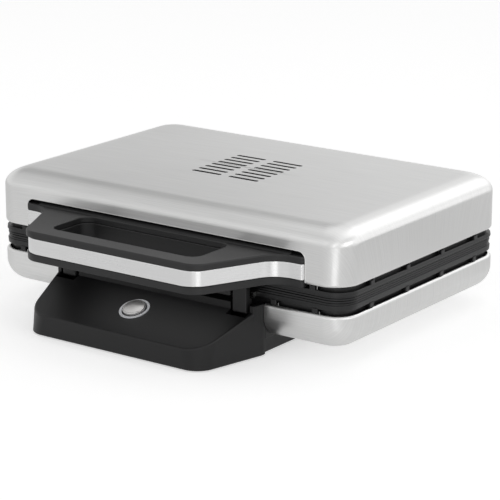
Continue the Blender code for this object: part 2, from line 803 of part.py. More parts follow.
def lid_frame():
    """The ribbed upper frame, with its catch block, its lugs and the two hinge arms."""
    profile = frame_profile(LID_FACE, 1, LID_STRIP, LID_BAND, NECK_HEIGHT)
    frame = loft("lid_frame", [ring_at(body_outline(inset), z) for inset, z in profile], joined=True)
    half = NOTCH_WIDTH / 2 + NOTCH_WALL_OVERLAP
    low = (-half, NECK_FRONT, LID_BAND_HIGH - LEDGE_HEIGHT / 2)
    high = (half, NECK_FRONT + NECK_WALL, LID_RIM + NOTCH_HEIGHT + NOTCH_WALL_RISE)
    fuse(frame, box("notch_wall", low, high))
    fuse(frame, frame_lugs("lid_lugs", LID_BAND_HIGH - LEDGE_HEIGHT / 2, LID_RIM - FIT, LID_LUG_PLACES))
    fuse(frame, catch_block("lid_catch", LID_FACE + STRIP_SLOPE, LID_BAND_HIGH - STRIP_SLOPE))
    arms = []
    low = LID_FACE + ARM_ROOT_RISE
    for side in (-1, 1):
        middle = side * HINGE_SPREAD
        arms.append(knuckle("arm", middle - ARM_WIDTH / 2, middle + ARM_WIDTH / 2, low, low + ARM_ROOT_HEIGHT))
    fuse(frame, joined_mesh("hinge_arms", arms))
    cut(frame, hinge_bores("lid_hinge_bores"))
    return piece(frame, PLASTIC, LID)


def pocket_corners(side, half, front, rear, left, right):
    """The corners of one triangular toast pocket; side picks the bed, half the front or the rear triangle."""
    gap = DIAGONAL_WEB / 2 * math.hypot(right - left, rear - front)
    shift_x = gap / (rear - front)
    shift_y = gap / (right - left)
    if half == 0:
        corners = [(left + shift_x, front), (right, front), (right, rear - shift_y)]
    else:
        corners = [(left, front + shift_y), (right - shift_x, rear), (left, rear)]
    if side > 0:
        corners = [(left + right - x, y) for x, y in reversed(corners)]
    return [(x, y, BED_CORNER) for x, y in corners]


def bed_limits(side):
    """The left and right edges of one toast bed."""
    outer = BODY_WIDTH / 2 - PLATE_INSET - PLATE_RIM
    inner = MIDDLE_WEB / 2
    return (inner, outer) if side > 0 else (-outer, -inner)


def pocket_tools(name, face, away):
    """The four triangular pockets of a plate as one cutter, with their drafted walls."""
    tools = []
    for side in (-1, 1):
        left, right = bed_limits(side)
        for half in (0, 1):
            corners = pocket_corners(side, half, -BED_DEPTH / 2, BED_DEPTH / 2, left, right)
            mouth = rounded_outline(corners)
            floor = drawn_in(mouth, POCKET_DRAFT)
            above = drawn_in(mouth, -POCKET_DRAFT * OVERRUN / POCKET_DEPTH)
            rings = [
                ring_at(above, face - away * OVERRUN),
                ring_at(mouth, face),
                ring_at(floor, face + away * POCKET_DEPTH),
            ]
            tools.append(loft("pocket", rings))
    return joined_mesh(name, tools)


def rib_tools(name, face, away):
    """Low searing ribs on the pocket floors, cut off at each pocket's walls by their own length."""
    floor = face + away * POCKET_DEPTH
    low, high = sorted((floor + away * RIB_HEIGHT, floor - away * RIB_HEIGHT))
    blocks = []
    for side in (-1, 1):
        left, right = bed_limits(side)
        for half in (0, 1):
            corners = pocket_corners(side, half, -BED_DEPTH / 2, BED_DEPTH / 2, left, right)
            centre_x = sum(corner[0] for corner in corners) / len(corners)
            centre_y = sum(corner[1] for corner in corners) / len(corners)
            for index in range(RIBS_PER_POCKET):
                shift = (index - (RIBS_PER_POCKET - 1) / 2) * RIB_PITCH
                length = (RIB_LENGTH_SHARE - RIB_SHORTER_SHARE * index) * BED_DEPTH
                x = centre_x
                y = centre_y + shift * (1 if half == 0 else -1)
                outline = rectangle(length, RIB_WIDTH, RIB_WIDTH * SLOT_END_SHARE, x, y, SLOT_ARC_STEP)
                blocks.append(prism("rib", [outline], low, high))
    return joined_mesh(name, blocks)


def cooking_plate(name, face, away, owner=None):
    """A cast plate with two toast beds, each split into two triangular pockets, hung in its frame by a lip."""
    lip = face + away * (LEDGE_HEIGHT + FIT)
    back = face + away * PLATE_THICKNESS
    levels = [
        (PLATE_INSET, face),
        (PLATE_INSET, lip),
        (FLANGE_INSET + FIT, lip),
        (FLANGE_INSET + FIT, lip + away * LIP_HEIGHT),
        (PLATE_INSET, lip + away * LIP_HEIGHT),
        (PLATE_INSET, back),
    ]
    plate = loft(name, [ring_at(body_outline(inset), z) for inset, z in levels])
    cut(plate, pocket_tools(name + "_pockets", face, away))
    fuse(plate, rib_tools(name + "_ribs", face, away))
    return piece(plate, COATING, owner)


def heater(name, face, away, owner=None):
    """A sheathed heating rod bent to a loop behind the plate, with its two tails at the rear."""
    z = face + away * (PLATE_THICKNESS + FIT + HEATER_RADIUS)
    half = (BODY_WIDTH / 2 - PLATE_INSET) * HEATER_WIDTH_SHARE
    front = (BODY_FRONT + PLATE_INSET) * HEATER_DEPTH_SHARE
    tail = HEATER_TAIL_SPACE / 2
    corners = [
        (tail, -front, 0),
        (half, -front, HEATER_BEND),
        (half, front, HEATER_BEND),
        (-half, front, HEATER_BEND),
        (-half, -front, HEATER_BEND),
        (-tail, -front, 0),
    ]
    path = [(x, y, z) for x, y in rounded_outline(corners, closed=False)]
    return piece(tube(name, path, HEATER_RADIUS), SHEATH, owner)


def heater_clamp(name, side, face, away, owner=None):
    """A bent strap that holds the rod against the plate."""
    x = side * (BODY_WIDTH / 2 - PLATE_INSET) * HEATER_WIDTH_SHARE
    near = face + away * (PLATE_THICKNESS + FIT)
    crown = near + away * (2 * HEATER_RADIUS + FIT)
    half = HEATER_RADIUS + FIT
    section = [
        (x - half - CLAMP_SHEET - CLAMP_FOOT, near),
        (x - half, near),
        (x - half, crown),
        (x + half, crown),
        (x + half, near),
        (x + half + CLAMP_SHEET + CLAMP_FOOT, near),
        (x + half + CLAMP_SHEET + CLAMP_FOOT, near + away * CLAMP_SHEET),
        (x + half + CLAMP_SHEET, near + away * CLAMP_SHEET),
        (x + half + CLAMP_SHEET, crown + away * CLAMP_SHEET),
        (x - half - CLAMP_SHEET, crown + away * CLAMP_SHEET),
        (x - half - CLAMP_SHEET, near + away * CLAMP_SHEET),
        (x - half - CLAMP_SHEET - CLAMP_FOOT, near + away * CLAMP_SHEET),
    ]
    facing = Matrix(((1, 0, 0, 0), (0, 0, 1, 0), (0, 1, 0, 0), (0, 0, 0, 1)))
    return piece(prism(name, [section], -CLAMP_WIDTH / 2, CLAMP_WIDTH / 2, facing), ALUMINIUM, owner)


def reflector(name, face, away, owner=None):
    """A thin pan behind the plate that throws its heat back, hung by its lip under the plate's own lip."""
    lip = face + away * (LEDGE_HEIGHT + LIP_HEIGHT + 2 * FIT)
    floor = lip + away * PAN_DEPTH
    wall = FLANGE_INSET + FIT + PAN_LIP
    levels = [
        (wall + PAN_DRAFT + PAN_FLOOR_SLOPE, floor + away * PAN_SHEET),
        (wall + PAN_DRAFT, floor),
        (wall, lip),
        (FLANGE_INSET + FIT, lip),
        (FLANGE_INSET + FIT, lip + away * PAN_SHEET),
        (wall - PAN_SHEET, lip + away * PAN_SHEET),
        (wall + PAN_DRAFT - PAN_SHEET, floor + away * PAN_SHEET),
        (wall + PAN_DRAFT + PAN_FLOOR_SLOPE, floor + away * 2 * PAN_SHEET),
    ]
    rings = [ring_at(body_outline(inset), z) for inset, z in levels]
    return piece(loft(name, rings), ALUMINIUM, owner)


def thermal_fuse(name, face, away, owner=None):
    """A one-shot fuse with its two stiff leads, against the back of a reflector."""
    back = face + away * (LEDGE_HEIGHT + LIP_HEIGHT + 2 * FIT + PAN_DEPTH + 2 * PAN_SHEET)
    place = across(FUSE_PLACE_SHARE * BODY_WIDTH, 0, back + away * (FIT + FUSE_RADIUS))
    half = FUSE_LENGTH / 2
    profile = [
        (0, half),
        (FUSE_LEAD, half),
        (FUSE_LEAD, half - FUSE_LEAD_LENGTH),
        (FUSE_RADIUS, half - FUSE_LEAD_LENGTH - FUSE_LEAD),
        (FUSE_RADIUS, FUSE_LEAD_LENGTH + FUSE_LEAD - half),
        (FUSE_LEAD, FUSE_LEAD_LENGTH - half),
        (FUSE_LEAD, -half),
        (0, -half),
    ]
    return piece(turned(name, profile, place, SMALL_SIDES), CERAMIC, owner)


def thermostat():
    """The round snap-action thermostat under the middle of the lower plate."""
    top = BASE_FACE - PLATE_THICKNESS - FIT
    step = top - THERMOSTAT_HEIGHT / 2
    profile = [
        (0, top),
        (THERMOSTAT_RADIUS, top),
        (THERMOSTAT_RADIUS, step),
        (THERMOSTAT_CAP_RADIUS, step),
        (THERMOSTAT_CAP_RADIUS, top - THERMOSTAT_HEIGHT),
        (0, top - THERMOSTAT_HEIGHT),
    ]
    return piece(turned("lower_thermostat", profile, Matrix.Identity(4)), CERAMIC)


def terminal_block():
    """The block on the floor of the base that joins the cord to the wires, with its screw wells."""
    y = BODY_REAR - BLOCK_SETBACK
    low = BASE_FLOOR + SHEET + FIT
    half = Vector((BLOCK_LENGTH, BLOCK_DEPTH, 0)) / 2
    block = box("terminal_block", (-half.x, y - half.y, low), (half.x, y + half.y, low + BLOCK_HEIGHT))
    wells = []
    for index in range(BLOCK_POLES):
        x = (index - (BLOCK_POLES - 1) / 2) * BLOCK_LENGTH / BLOCK_POLES
        place = Matrix.Translation((x, y, low))
        wells.append(cylinder("well", BLOCK_POLE_RADIUS, BLOCK_HEIGHT / 2, BLOCK_HEIGHT + OVERRUN, place, SMALL_SIDES))
    return piece(cut(block, joined_mesh("terminal_wells", wells)), CERAMIC)


def gland_frame():
    """The frame of the cord gland, with Z pointing out of the rear wall."""
    place = Matrix.Translation((0, BODY_REAR, GLAND_HEIGHT))
    return place @ Matrix.Rotation(-math.pi / 2, 4, "X")


def cord_gland():
    """The rubber bush that lines the cord's hole in the rear wall."""
    profile = [
        (GLAND_BORE, GLAND_LENGTH / 2),
        (GLAND_RADIUS, GLAND_LENGTH / 2),
        (GLAND_RADIUS, GLAND_FLANGE + FIT),
        (GLAND_FLANGE_RADIUS, GLAND_FLANGE),
        (GLAND_FLANGE_RADIUS, FIT),
        (GLAND_RADIUS, FIT),
        (GLAND_RADIUS, -GLAND_INNER),
        (GLAND_BORE, -GLAND_INNER),
    ]
    return piece(turned("cord_gland", profile, gland_frame(), ROUND_SIDES, ring=True), RUBBER)


def hinge_pin(name, side):
    """A headed steel pin through one fork and its arm."""
    end = ARM_WIDTH / 2 + FIT + EAR_WIDTH + PIN_END_GAP
    profile = [
        (0, end + PIN_HEAD),
        (PIN_HEAD_RADIUS, end + PIN_HEAD),
        (PIN_HEAD_RADIUS, end),
        (PIN_RADIUS, end),
        (PIN_RADIUS, -end),
        (PIN_HEAD_RADIUS, -end),
        (PIN_HEAD_RADIUS, -end - PIN_HEAD),
        (0, -end - PIN_HEAD),
    ]
    return piece(turned(name, profile, across(side * HINGE_SPREAD, HINGE_Y, HINGE_Z)), STEEL)


def handle_plan(inset, rear):
    """The outline of the handle drawn in by an inset, with its rear edge at a given place."""
    run = BODY_FRONT - HANDLE_RUN
    half = HANDLE_FRONT_WIDTH / 2
    root = NOTCH_WIDTH / 2 - ROOT_SIDE_GAP
    corners = [
        (half, HANDLE_FRONT, HANDLE_CORNER),
        (half + (run - HANDLE_FRONT) * math.tan(HANDLE_FLARE), run, HANDLE_NECK_CORNER),
        (root, run + HANDLE_RUN_DRAFT, ROOT_CORNER + inset),
        (root, rear + inset, 0),
    ]
    return drawn_in(rounded_outline(both_sides(corners)), inset)


def handle_window(grown=0.0):
    """The finger window of the handle, as large as it shows or grown by a wall."""
    front = HANDLE_FRONT + WINDOW_FRONT_BAR
    depth = WINDOW_REAR - front
    outline = rectangle(WINDOW_WIDTH, depth, WINDOW_CORNER, 0, front + depth / 2)
    return drawn_in(outline, -grown)


def handle_band():
    """The brushed strip that wraps the handle's front and sides between its two black covers."""
    half = len(handle_plan(0, ROOT_REAR)) // 2
    outer = handle_plan(0, ROOT_REAR)
    inner = handle_plan(BAND_SHEET, ROOT_REAR)
    strip = outer[half:] + outer[:half] + list(reversed(inner[half:] + inner[:half]))
    return piece(prism("handle_band", [strip], HANDLE_BAND_LOW, HANDLE_BAND_HIGH), STEEL, LID)


def leg_slots():
    """The slots in the handle's floor and root that the clip's legs hang and swing through."""
    slots = []
    for side in (-1, 1):
        ends = sorted((side * (LEG_INNER - LEG_SLOT_GAP), side * (LEG_INNER + LEG_WIDTH + LEG_SLOT_GAP)))
        low = (ends[0], LEG_FRONT - LEG_SLOT_GAP, HANDLE_LOW - OVERRUN)
        high = (ends[1], ROOT_REAR + OVERRUN, SHAFT_Z + BOSS_RADIUS + LEG_SLOT_GAP)
        slots.append(box("slot", low, high))
    return joined_mesh("leg_slots", slots)


def saddles():
    """The two bearing blocks of the clip's shaft, in the bar behind the finger window."""
    depth = ROOT_REAR - WINDOW_REAR - CORE_WALL
    low = HANDLE_LOW + HANDLE_FLOOR / 2
    high = SHAFT_Z + SHAFT_RADIUS + FIT + SADDLE_CROWN
    section = [rectangle(depth, high - low, SADDLE_CROWN / 2, SHAFT_Y, (low + high) / 2)]
    section.append(circle(SHAFT_RADIUS + FIT, SHAFT_Y, SHAFT_Z))
    blocks = []
    for side in (-1, 1):
        middle = side * SADDLE_PLACE
        blocks.append(side_prism("saddle", section, middle - SADDLE_WIDTH / 2, middle + SADDLE_WIDTH / 2))
    return joined_mesh("shaft_saddles", blocks)


def handle_bottom_cover():
    """The lower cover, a tray whose core wall carries the band and whose root carries the clip's shaft."""
    core = BAND_SHEET + FIT
    shoulder = HANDLE_LOW + HANDLE_SKIRT
    levels = [
        (HANDLE_EDGE / 2, ROOT_REAR, HANDLE_LOW),
        (0, ROOT_REAR, HANDLE_LOW + HANDLE_EDGE / 2),
        (0, ROOT_REAR, shoulder),
        (core, ROOT_REAR - FIT, shoulder),
        (core, ROOT_REAR - FIT, HANDLE_BAND_HIGH - FIT),
    ]
    cover = loft("handle_bottom_cover", [ring_at(handle_plan(inset, rear), z) for inset, rear, z in levels])
    cut(cover, leg_slots())
    floor = HANDLE_LOW + HANDLE_FLOOR
    high = HANDLE_TOP + OVERRUN
    hollow = [handle_plan(core + CORE_WALL, ROOT_REAR - CORE_WALL), handle_window(CORE_WALL)]
    window = prism("window", [handle_window()], HANDLE_LOW - OVERRUN, high)
    cut(cover, joined_mesh("bottom_cover_hollow", [prism("hollow", hollow, floor, high), window]))
    fuse(cover, saddles())
    return piece(cover, PLASTIC, LID)


def handle_top_cover():
    """The upper cover, a shallow cap with a softened edge round its outside and its window."""
    hollow = [handle_plan(HANDLE_WALL, ROOT_REAR - HANDLE_WALL), handle_window(CORE_WALL)]
    low = HANDLE_CAP_LOW
    cap = prism("handle_top_cover", [handle_plan(0, ROOT_REAR), handle_window()], low, HANDLE_TOP)
    soften(cap, HANDLE_TOP, HANDLE_EDGE)
    cut(cap, prism("top_cover_hollow", hollow, low - OVERRUN, HANDLE_TOP - HANDLE_WALL))
    return piece(cap, PLASTIC, LID)


def latch_shaft():
    """The steel shaft that joins the clip's two legs."""
    end = LEG_INNER + LEG_WIDTH + SHAFT_END
    return piece(cylinder("latch_shaft", SHAFT_RADIUS, -end, end, across(0, SHAFT_Y, SHAFT_Z)), STEEL, LATCH)


def latch_leg(name, side):
    """A hooked leg: an arm from the shaft, a plate down past the band, and a toe that catches under its keeper."""
    back = LEG_FRONT + LEG_THICKNESS
    tip = KEEPER_FRONT - TOE_GAP
    toe = LEG_LOW + TOE_RISE
    round_end = BOSS_RADIUS - FIT
    corners = [
        (LEG_FRONT, LEG_LOW, LEG_ROUND),
        (back, LEG_LOW, LEG_ROUND),
        (back, toe, LEG_ROUND / 2),
        (tip, toe, LEG_ROUND / 2),
        (tip, toe + TOE_THICKNESS, LEG_ROUND / 2),
        (back, toe + TOE_THICKNESS, LEG_ROUND / 2),
        (back, SHAFT_Z - BOSS_RADIUS, LEG_ROUND),
        (SHAFT_Y + BOSS_RADIUS, SHAFT_Z - BOSS_RADIUS, round_end),
        (SHAFT_Y + BOSS_RADIUS, SHAFT_Z + BOSS_RADIUS, round_end),
        (LEG_FRONT, SHAFT_Z + BOSS_RADIUS, LEG_ROUND),
    ]
    bore = circle(SHAFT_RADIUS + FIT, SHAFT_Y, SHAFT_Z)
    ends = sorted((side * LEG_INNER, side * (LEG_INNER + LEG_WIDTH)))
    return piece(side_prism(name, [rounded_outline(corners), bore], *ends), PLASTIC, LATCH)


def keeper(name, side):
    """A steel block on the front of the base frame that one toe of the locking clip catches under."""
    left, right = sorted((side * LEG_INNER, side * (LEG_INNER + LEG_WIDTH)))
    top = BASE_BAND_LOW + KEEPER_HEIGHT
    return piece(box(name, (left, KEEPER_FRONT, BASE_BAND_LOW), (right, KEEPER_REAR, top)), STEEL)


def slope_height(y):
    """The height of the foot housing's sloping top over a place."""
    return FOOT_FRONT_HEIGHT + (y - FOOT_FRONT) * math.tan(FOOT_SLOPE)


def flare_half(y):
    """Half the width of the foot housing's front part at a place on its flared sides."""
    half = FOOT_FRONT_WIDTH / 2
    share = (y - FOOT_FRONT) / (FOOT_FLARE_REAR - FOOT_FRONT)
    return half + (FOOT_REAR_HALF - half) * min(share, 1)


def foot_plan(inset, rear):
    """The flared outline of the foot housing's front part, drawn in by an inset, cut off at a rear edge."""
    corners = [(FOOT_FRONT_WIDTH / 2, FOOT_FRONT, FOOT_CORNER)]
    if rear > FOOT_FLARE_REAR:
        corners.append((FOOT_REAR_HALF, FOOT_FLARE_REAR, 0))
        corners.append((FOOT_REAR_HALF, FOOT_BACK - FOOT_STEP_LENGTH, 0))
        corners.append((FOOT_REAR_HALF - FOOT_STEP, rear + inset, 0))
    else:
        corners.append((flare_half(rear + inset), rear + inset, 0))
    return drawn_in(rounded_outline(both_sides(corners)), inset)


def foot_slice(inset, front, rear):
    """A straight-sided slice of the front part between two places, drawn in from its sides."""
    corners = [(flare_half(front) - inset, front, 0), (flare_half(rear) - inset, rear, 0)]
    return rounded_outline(both_sides(corners))


def tail_plan(inset):
    """The outline of the part of the foot housing that runs back under the body."""
    half = FOOT_REAR_HALF - FOOT_STEP
    front = FOOT_BACK - FOOT_SINK
    corners = [(half, front - inset, 0), (half, FOOT_TAIL_END, FOOT_TAIL_CORNER)]
    return drawn_in(rounded_outline(both_sides(corners)), inset)


def on_slope(points, drop):
    """An outline laid on the sloping top, or a drop below it."""
    return [(point[0], point[1], slope_height(point[1]) - drop) for point in points]


def button_frame():
    """The frame of the push button, with Z pointing out of the sloping top."""
    place = Matrix.Translation((0, FOOT_FRONT + BUTTON_SETBACK, slope_height(FOOT_FRONT + BUTTON_SETBACK)))
    return place @ Matrix.Rotation(FOOT_SLOPE, 4, "X")


def leg_wells():
    """The two wells in the foot housing that the clip's legs hang in, with a lower sill at their rear."""
    wells = []
    for side in (-1, 1):
        ends = sorted((side * WELL_INNER, side * WELL_OUTER))
        section = [
            (LEG_FRONT - WELL_FRONT_GAP, WELL_FLOOR),
            (FOOT_BACK - FOOT_WALL, WELL_FLOOR),
            (FOOT_BACK - FOOT_WALL, WELL_SILL),
            (FOOT_BACK + OVERRUN, WELL_SILL),
            (FOOT_BACK + OVERRUN, BASE_BAND_LOW),
            (LEG_FRONT - WELL_FRONT_GAP, BASE_BAND_LOW),
        ]
        wells.append(side_prism("well", [section], *ends))
    return joined_mesh("leg_wells", wells)


def foot_hollows():
    """The hollow of the foot housing as overlapping steps: plate rebate, tail, front, centre and rear room."""
    inset = FOOT_WALL + PLATE_LEDGE
    ledge = FOOT_LOW + FLOOR_PLATE + FIT
    middle = LEG_FRONT - WELL_FRONT_GAP - FOOT_WALL
    front = foot_plan(inset, middle)
    ceiling = on_slope(front, FOOT_WALL / math.cos(FOOT_SLOPE))
    room = foot_slice(inset, middle - PLATE_LEDGE, FOOT_BACK - FOOT_WALL)
    half = WELL_INNER - FOOT_WALL
    centre = rounded_outline(both_sides([(half, middle - PLATE_LEDGE, 0), (half, FOOT_BACK - FOOT_WALL, 0)]))
    low = FOOT_LOW - OVERRUN
    return [
        prism("plate_rebate", [floor_outline(0)], low, ledge),
        loft("front_room", [ring_at(front, low), ceiling]),
        loft("centre_room", [ring_at(centre, low), on_slope(centre, FOOT_WALL / math.cos(FOOT_SLOPE))]),
        prism("rear_room", [room], low, WELL_FLOOR - FOOT_WALL),
        prism("tail_room", [tail_plan(inset)], low, FOOT_TAIL_TOP - FOOT_WALL),
    ]


def floor_outline(gap):
    """The outline of the foot housing's floor plate, smaller than its rebate by a gap."""
    inset = FOOT_WALL + gap
    half = FOOT_FRONT_WIDTH / 2
    tail = FOOT_REAR_HALF - FOOT_STEP
    corners = [
        (half, FOOT_FRONT, FOOT_CORNER),
        (FOOT_REAR_HALF, FOOT_FLARE_REAR, 0),
        (FOOT_REAR_HALF, FOOT_BACK - FOOT_STEP_LENGTH, 0),
        (tail, FOOT_BACK, 0),
        (tail, FOOT_TAIL_END, FOOT_TAIL_CORNER),
    ]
    return drawn_in(rounded_outline(both_sides(corners)), inset)


def pedestal_housing():
    """The sloping front foot with the button, hollow from below, and its flat tail under the body."""
    levels = [(0, FOOT_EDGE), (FOOT_EDGE / 3, FOOT_EDGE / 3), (FOOT_EDGE, 0)]
    rings = [on_slope(foot_plan(inset, FOOT_BACK), drop) for inset, drop in levels]
    housing = loft("pedestal_housing", [ring_at(foot_plan(0, FOOT_BACK), FOOT_LOW), *rings])
    fuse(housing, prism("foot_tail", [tail_plan(0)], FOOT_LOW, FOOT_TAIL_TOP))
    half = WELL_INNER - FOOT_WALL
    step = both_sides([(half, CATCH_FRONT, 0), (half, FOOT_BACK, 0)])
    fuse(housing, prism("rear_step", [rounded_outline(step)], WELL_FLOOR, FOOT_TOP))
    for hollow in foot_hollows():
        cut(housing, hollow)
    cut(housing, leg_wells())
    frame = button_frame()
    posts = []
    for side in (-1, 1):
        place = frame @ Matrix.Translation((side * POST_PLACE, 0, 0))
        posts.append(cylinder("post", POST_RADIUS, FIT - BOARD_DROP, -FOOT_WALL / 2, place, SMALL_SIDES))
    fuse(housing, joined_mesh("board_posts", posts))
    cut(housing, cylinder("button_hole", RING_RADIUS + FIT, -BOARD_DROP, OVERRUN, frame))
    return piece(housing, PLASTIC)


def pad_places():
    """Where the four rubber pads stand: two under the foot housing, two under the rear feet."""
    front_x = FOOT_FRONT_WIDTH / 2 - PAD_SETBACK
    front_y = FOOT_FRONT + PAD_SETBACK
    rear_y = BODY_REAR - REAR_FOOT_SETBACK
    return {
        "foot_pad_front_left": (-front_x, front_y, 0),
        "foot_pad_front_right": (front_x, front_y, 0),
        "foot_pad_rear_left": (-REAR_FOOT_SPREAD, rear_y, 0),
        "foot_pad_rear_right": (REAR_FOOT_SPREAD, rear_y, 0),
    }


def pedestal_bottom_plate():
    """The plate that closes the foot housing from below, with recesses for its two pads."""
    plate = prism("pedestal_bottom_plate", [floor_outline(FIT)], FOOT_LOW, FOOT_LOW + FLOOR_PLATE)
    recesses = []
    for name, place in pad_places().items():
        if "front" in name:
            matrix = Matrix.Translation(place)
            recesses.append(cylinder("recess", PAD_RADIUS + FIT, FOOT_LOW - OVERRUN, PAD_HEIGHT + FIT, matrix))
    return piece(cut(plate, joined_mesh("pad_recesses", recesses)), PLASTIC)


def foot_pad(name, place):
    """A rubber disc to stand on, with a softened lower edge."""
    profile = [
        (0, PAD_HEIGHT),
        (PAD_RADIUS, PAD_HEIGHT),
        (PAD_RADIUS, PAD_EDGE),
        (PAD_RADIUS - PAD_EDGE, 0),
        (0, 0),
    ]
    return piece(turned(name, profile, Matrix.Translation(place), SMALL_SIDES), RUBBER)


def rear_foot(name, side):
    """A tapered foot under a rear corner, with a peg that locates it in the tray."""
    place = Matrix.Translation((side * REAR_FOOT_SPREAD, BODY_REAR - REAR_FOOT_SETBACK, 0))
    top = GROUND_GAP - FIT
    profile = [
        (0, top + PEG_HEIGHT),
        (PEG_RADIUS, top + PEG_HEIGHT),
        (PEG_RADIUS, top),
        (REAR_FOOT_RADIUS, top),
        (REAR_FOOT_RADIUS - REAR_FOOT_TAPER, FOOT_LOW),
        (PAD_RADIUS + FIT, FOOT_LOW),
        (PAD_RADIUS + FIT, PAD_HEIGHT + FIT),
        (0, PAD_HEIGHT + FIT),
    ]
    return piece(turned(name, profile, place), PLASTIC)


def light_ring():
    """The translucent ring round the button, clipped under the sloping top by its flange."""
    under = -FOOT_WALL - FIT
    profile = [
        (BUTTON_RADIUS + FIT, RING_PROUD),
        (RING_RADIUS, RING_PROUD),
        (RING_RADIUS, under),
        (RING_RADIUS + RING_FLANGE, under),
        (RING_RADIUS + RING_FLANGE, under - RING_FLANGE_HEIGHT),
        (BUTTON_RADIUS + FIT, under - RING_FLANGE_HEIGHT),
    ]
    return piece(turned("light_ring", profile, button_frame(), ROUND_SIDES, ring=True), LENS)


def button_cap():
    """The metal cap of the push button, with a rounded rim."""
    profile = [
        (0, BUTTON_PROUD),
        (BUTTON_RADIUS - BUTTON_EDGE, BUTTON_PROUD),
        (BUTTON_RADIUS - BUTTON_EDGE / 4, BUTTON_PROUD - BUTTON_EDGE / 4),
        (BUTTON_RADIUS, BUTTON_PROUD - BUTTON_EDGE),
        (BUTTON_RADIUS, BUTTON_PROUD - BUTTON_SKIRT),
        (0, BUTTON_PROUD - BUTTON_SKIRT),
    ]
    return piece(turned("button_cap", profile, button_frame()), STEEL, BUTTON)


def button_plunger():
    """The stem under the cap, with the collar that keeps the button in its ring."""
    top = BUTTON_PROUD - BUTTON_SKIRT - FIT
    profile = [
        (0, top),
        (PLUNGER_RADIUS, top),
        (PLUNGER_RADIUS, -COLLAR_TOP),
        (COLLAR_RADIUS, -COLLAR_TOP),
        (COLLAR_RADIUS, -COLLAR_TOP - COLLAR_HEIGHT),
        (PLUNGER_RADIUS, -COLLAR_TOP - COLLAR_HEIGHT),
        (PLUNGER_RADIUS, -PLUNGER_END),
        (0, -PLUNGER_END),
    ]
    return piece(turned("button_plunger", profile, button_frame(), SMALL_SIDES), PLASTIC, BUTTON)


def indicator_board():
    """The small board that carries the lamps and the switch, held up against two posts."""
    outlines = [rectangle(BOARD_LENGTH, BOARD_DEPTH, BOARD_CORNER), circle(BOARD_HOLE)]
    board = prism("indicator_board", outlines, -BOARD_DROP - BOARD_SHEET, -BOARD_DROP, button_frame())
    return piece(board, LAMINATE)


def power_switch():
    """The switch body under the board, with a bore that takes the button's stem."""
    frame = button_frame()
    outline = rectangle(SWITCH_LENGTH, SWITCH_DEPTH, BOARD_CORNER)
    switch = prism("power_switch", [outline], -SWITCH_DROP - SWITCH_HEIGHT, -SWITCH_DROP, frame)
    floor = -SWITCH_DROP - SWITCH_BORE_DEPTH
    bore = cylinder("switch_bore", PLUNGER_RADIUS + FIT, floor, OVERRUN - SWITCH_DROP, frame, SMALL_SIDES)
    return piece(cut(switch, bore), CERAMIC)


clear_scene()
PARTS = new_collection("sandwich_maker")
CUTTERS = new_collection("cutters")
CUTTERS.hide_render = True

STEEL = new_material("brushed_steel", (0.62, 0.61, 0.59), 0.32, 1.0)
PLASTIC = new_material("black_plastic", (0.022, 0.022, 0.024), 0.45)
COATING = new_material("nonstick_coating", (0.035, 0.034, 0.036), 0.38)
SHEATH = new_material("heater_sheath", (0.30, 0.27, 0.24), 0.40, 1.0)
ALUMINIUM = new_material("pressed_aluminium", (0.72, 0.73, 0.74), 0.35, 1.0)
CERAMIC = new_material("ceramic", (0.80, 0.77, 0.70), 0.60)
LAMINATE = new_material("laminate", (0.10, 0.24, 0.12), 0.50)
RUBBER = new_material("rubber", (0.030, 0.030, 0.030), 0.85)
LENS = new_material("clear_ring", (0.82, 0.84, 0.84), 0.30)

BODY = new_empty("body_frame", (0, BODY_Y, 0))
LID = new_empty("lid_axis", (0, HINGE_Y, HINGE_Z), BODY)
LATCH = new_empty("latch_axis", (0, SHAFT_Y - HINGE_Y, SHAFT_Z - HINGE_Z), LID)
BUTTON = new_empty("button_axis", button_frame().translation, BODY)

# Base, from the table up
for pad_name, pad_place in pad_places().items():
    foot_pad(pad_name, pad_place)
rear_foot("rear_foot_left", -1)
rear_foot("rear_foot_right", 1)
pedestal_bottom_plate()
pedestal_housing()
power_switch()
indicator_board()
light_ring()
base_shell()
cord_gland()
terminal_block()
base_frame()
keeper("keeper_left", -1)
keeper("keeper_right", 1)
cooking_plate("lower_plate", BASE_FACE, -1)
heater("lower_heater", BASE_FACE, -1)
heater_clamp("lower_heater_clamp_left", -1, BASE_FACE, -1)
heater_clamp("lower_heater_clamp_right", 1, BASE_FACE, -1)
thermostat()
reflector("lower_reflector", BASE_FACE, -1)
thermal_fuse("lower_thermal_fuse", BASE_FACE, -1)
hinge_pin("hinge_pin_left", -1)
hinge_pin("hinge_pin_right", 1)

# Push button
button_cap()
button_plunger()

# Lid, with its handle
lid_shell()
lid_frame()
cooking_plate("upper_plate", LID_FACE, 1, LID)
heater("upper_heater", LID_FACE, 1, LID)
heater_clamp("upper_heater_clamp_left", -1, LID_FACE, 1, LID)
heater_clamp("upper_heater_clamp_right", 1, LID_FACE, 1, LID)
reflector("upper_reflector", LID_FACE, 1, LID)
thermal_fuse("upper_thermal_fuse", LID_FACE, 1, LID)
handle_bottom_cover()
handle_band()
handle_top_cover()

# Locking clip
latch_shaft()
latch_leg("latch_leg_left", -1)
latch_leg("latch_leg_right", 1)
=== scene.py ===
# %% [markdown]
# A sandwich maker is two pressed steel shells on two black plastic frames, with a flat ring handle, a locking
# clip, a sloping foot with a push button, and two coated cooking plates inside.
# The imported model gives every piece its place. This script keeps that model as a fixed frame and dresses it:
# smooth surfaces replace the faceted ones, and each finish is built from shader nodes.

# %% Load the frame
import json
import math

import bmesh
import bpy
import numpy as np
from mathutils import Matrix, Vector

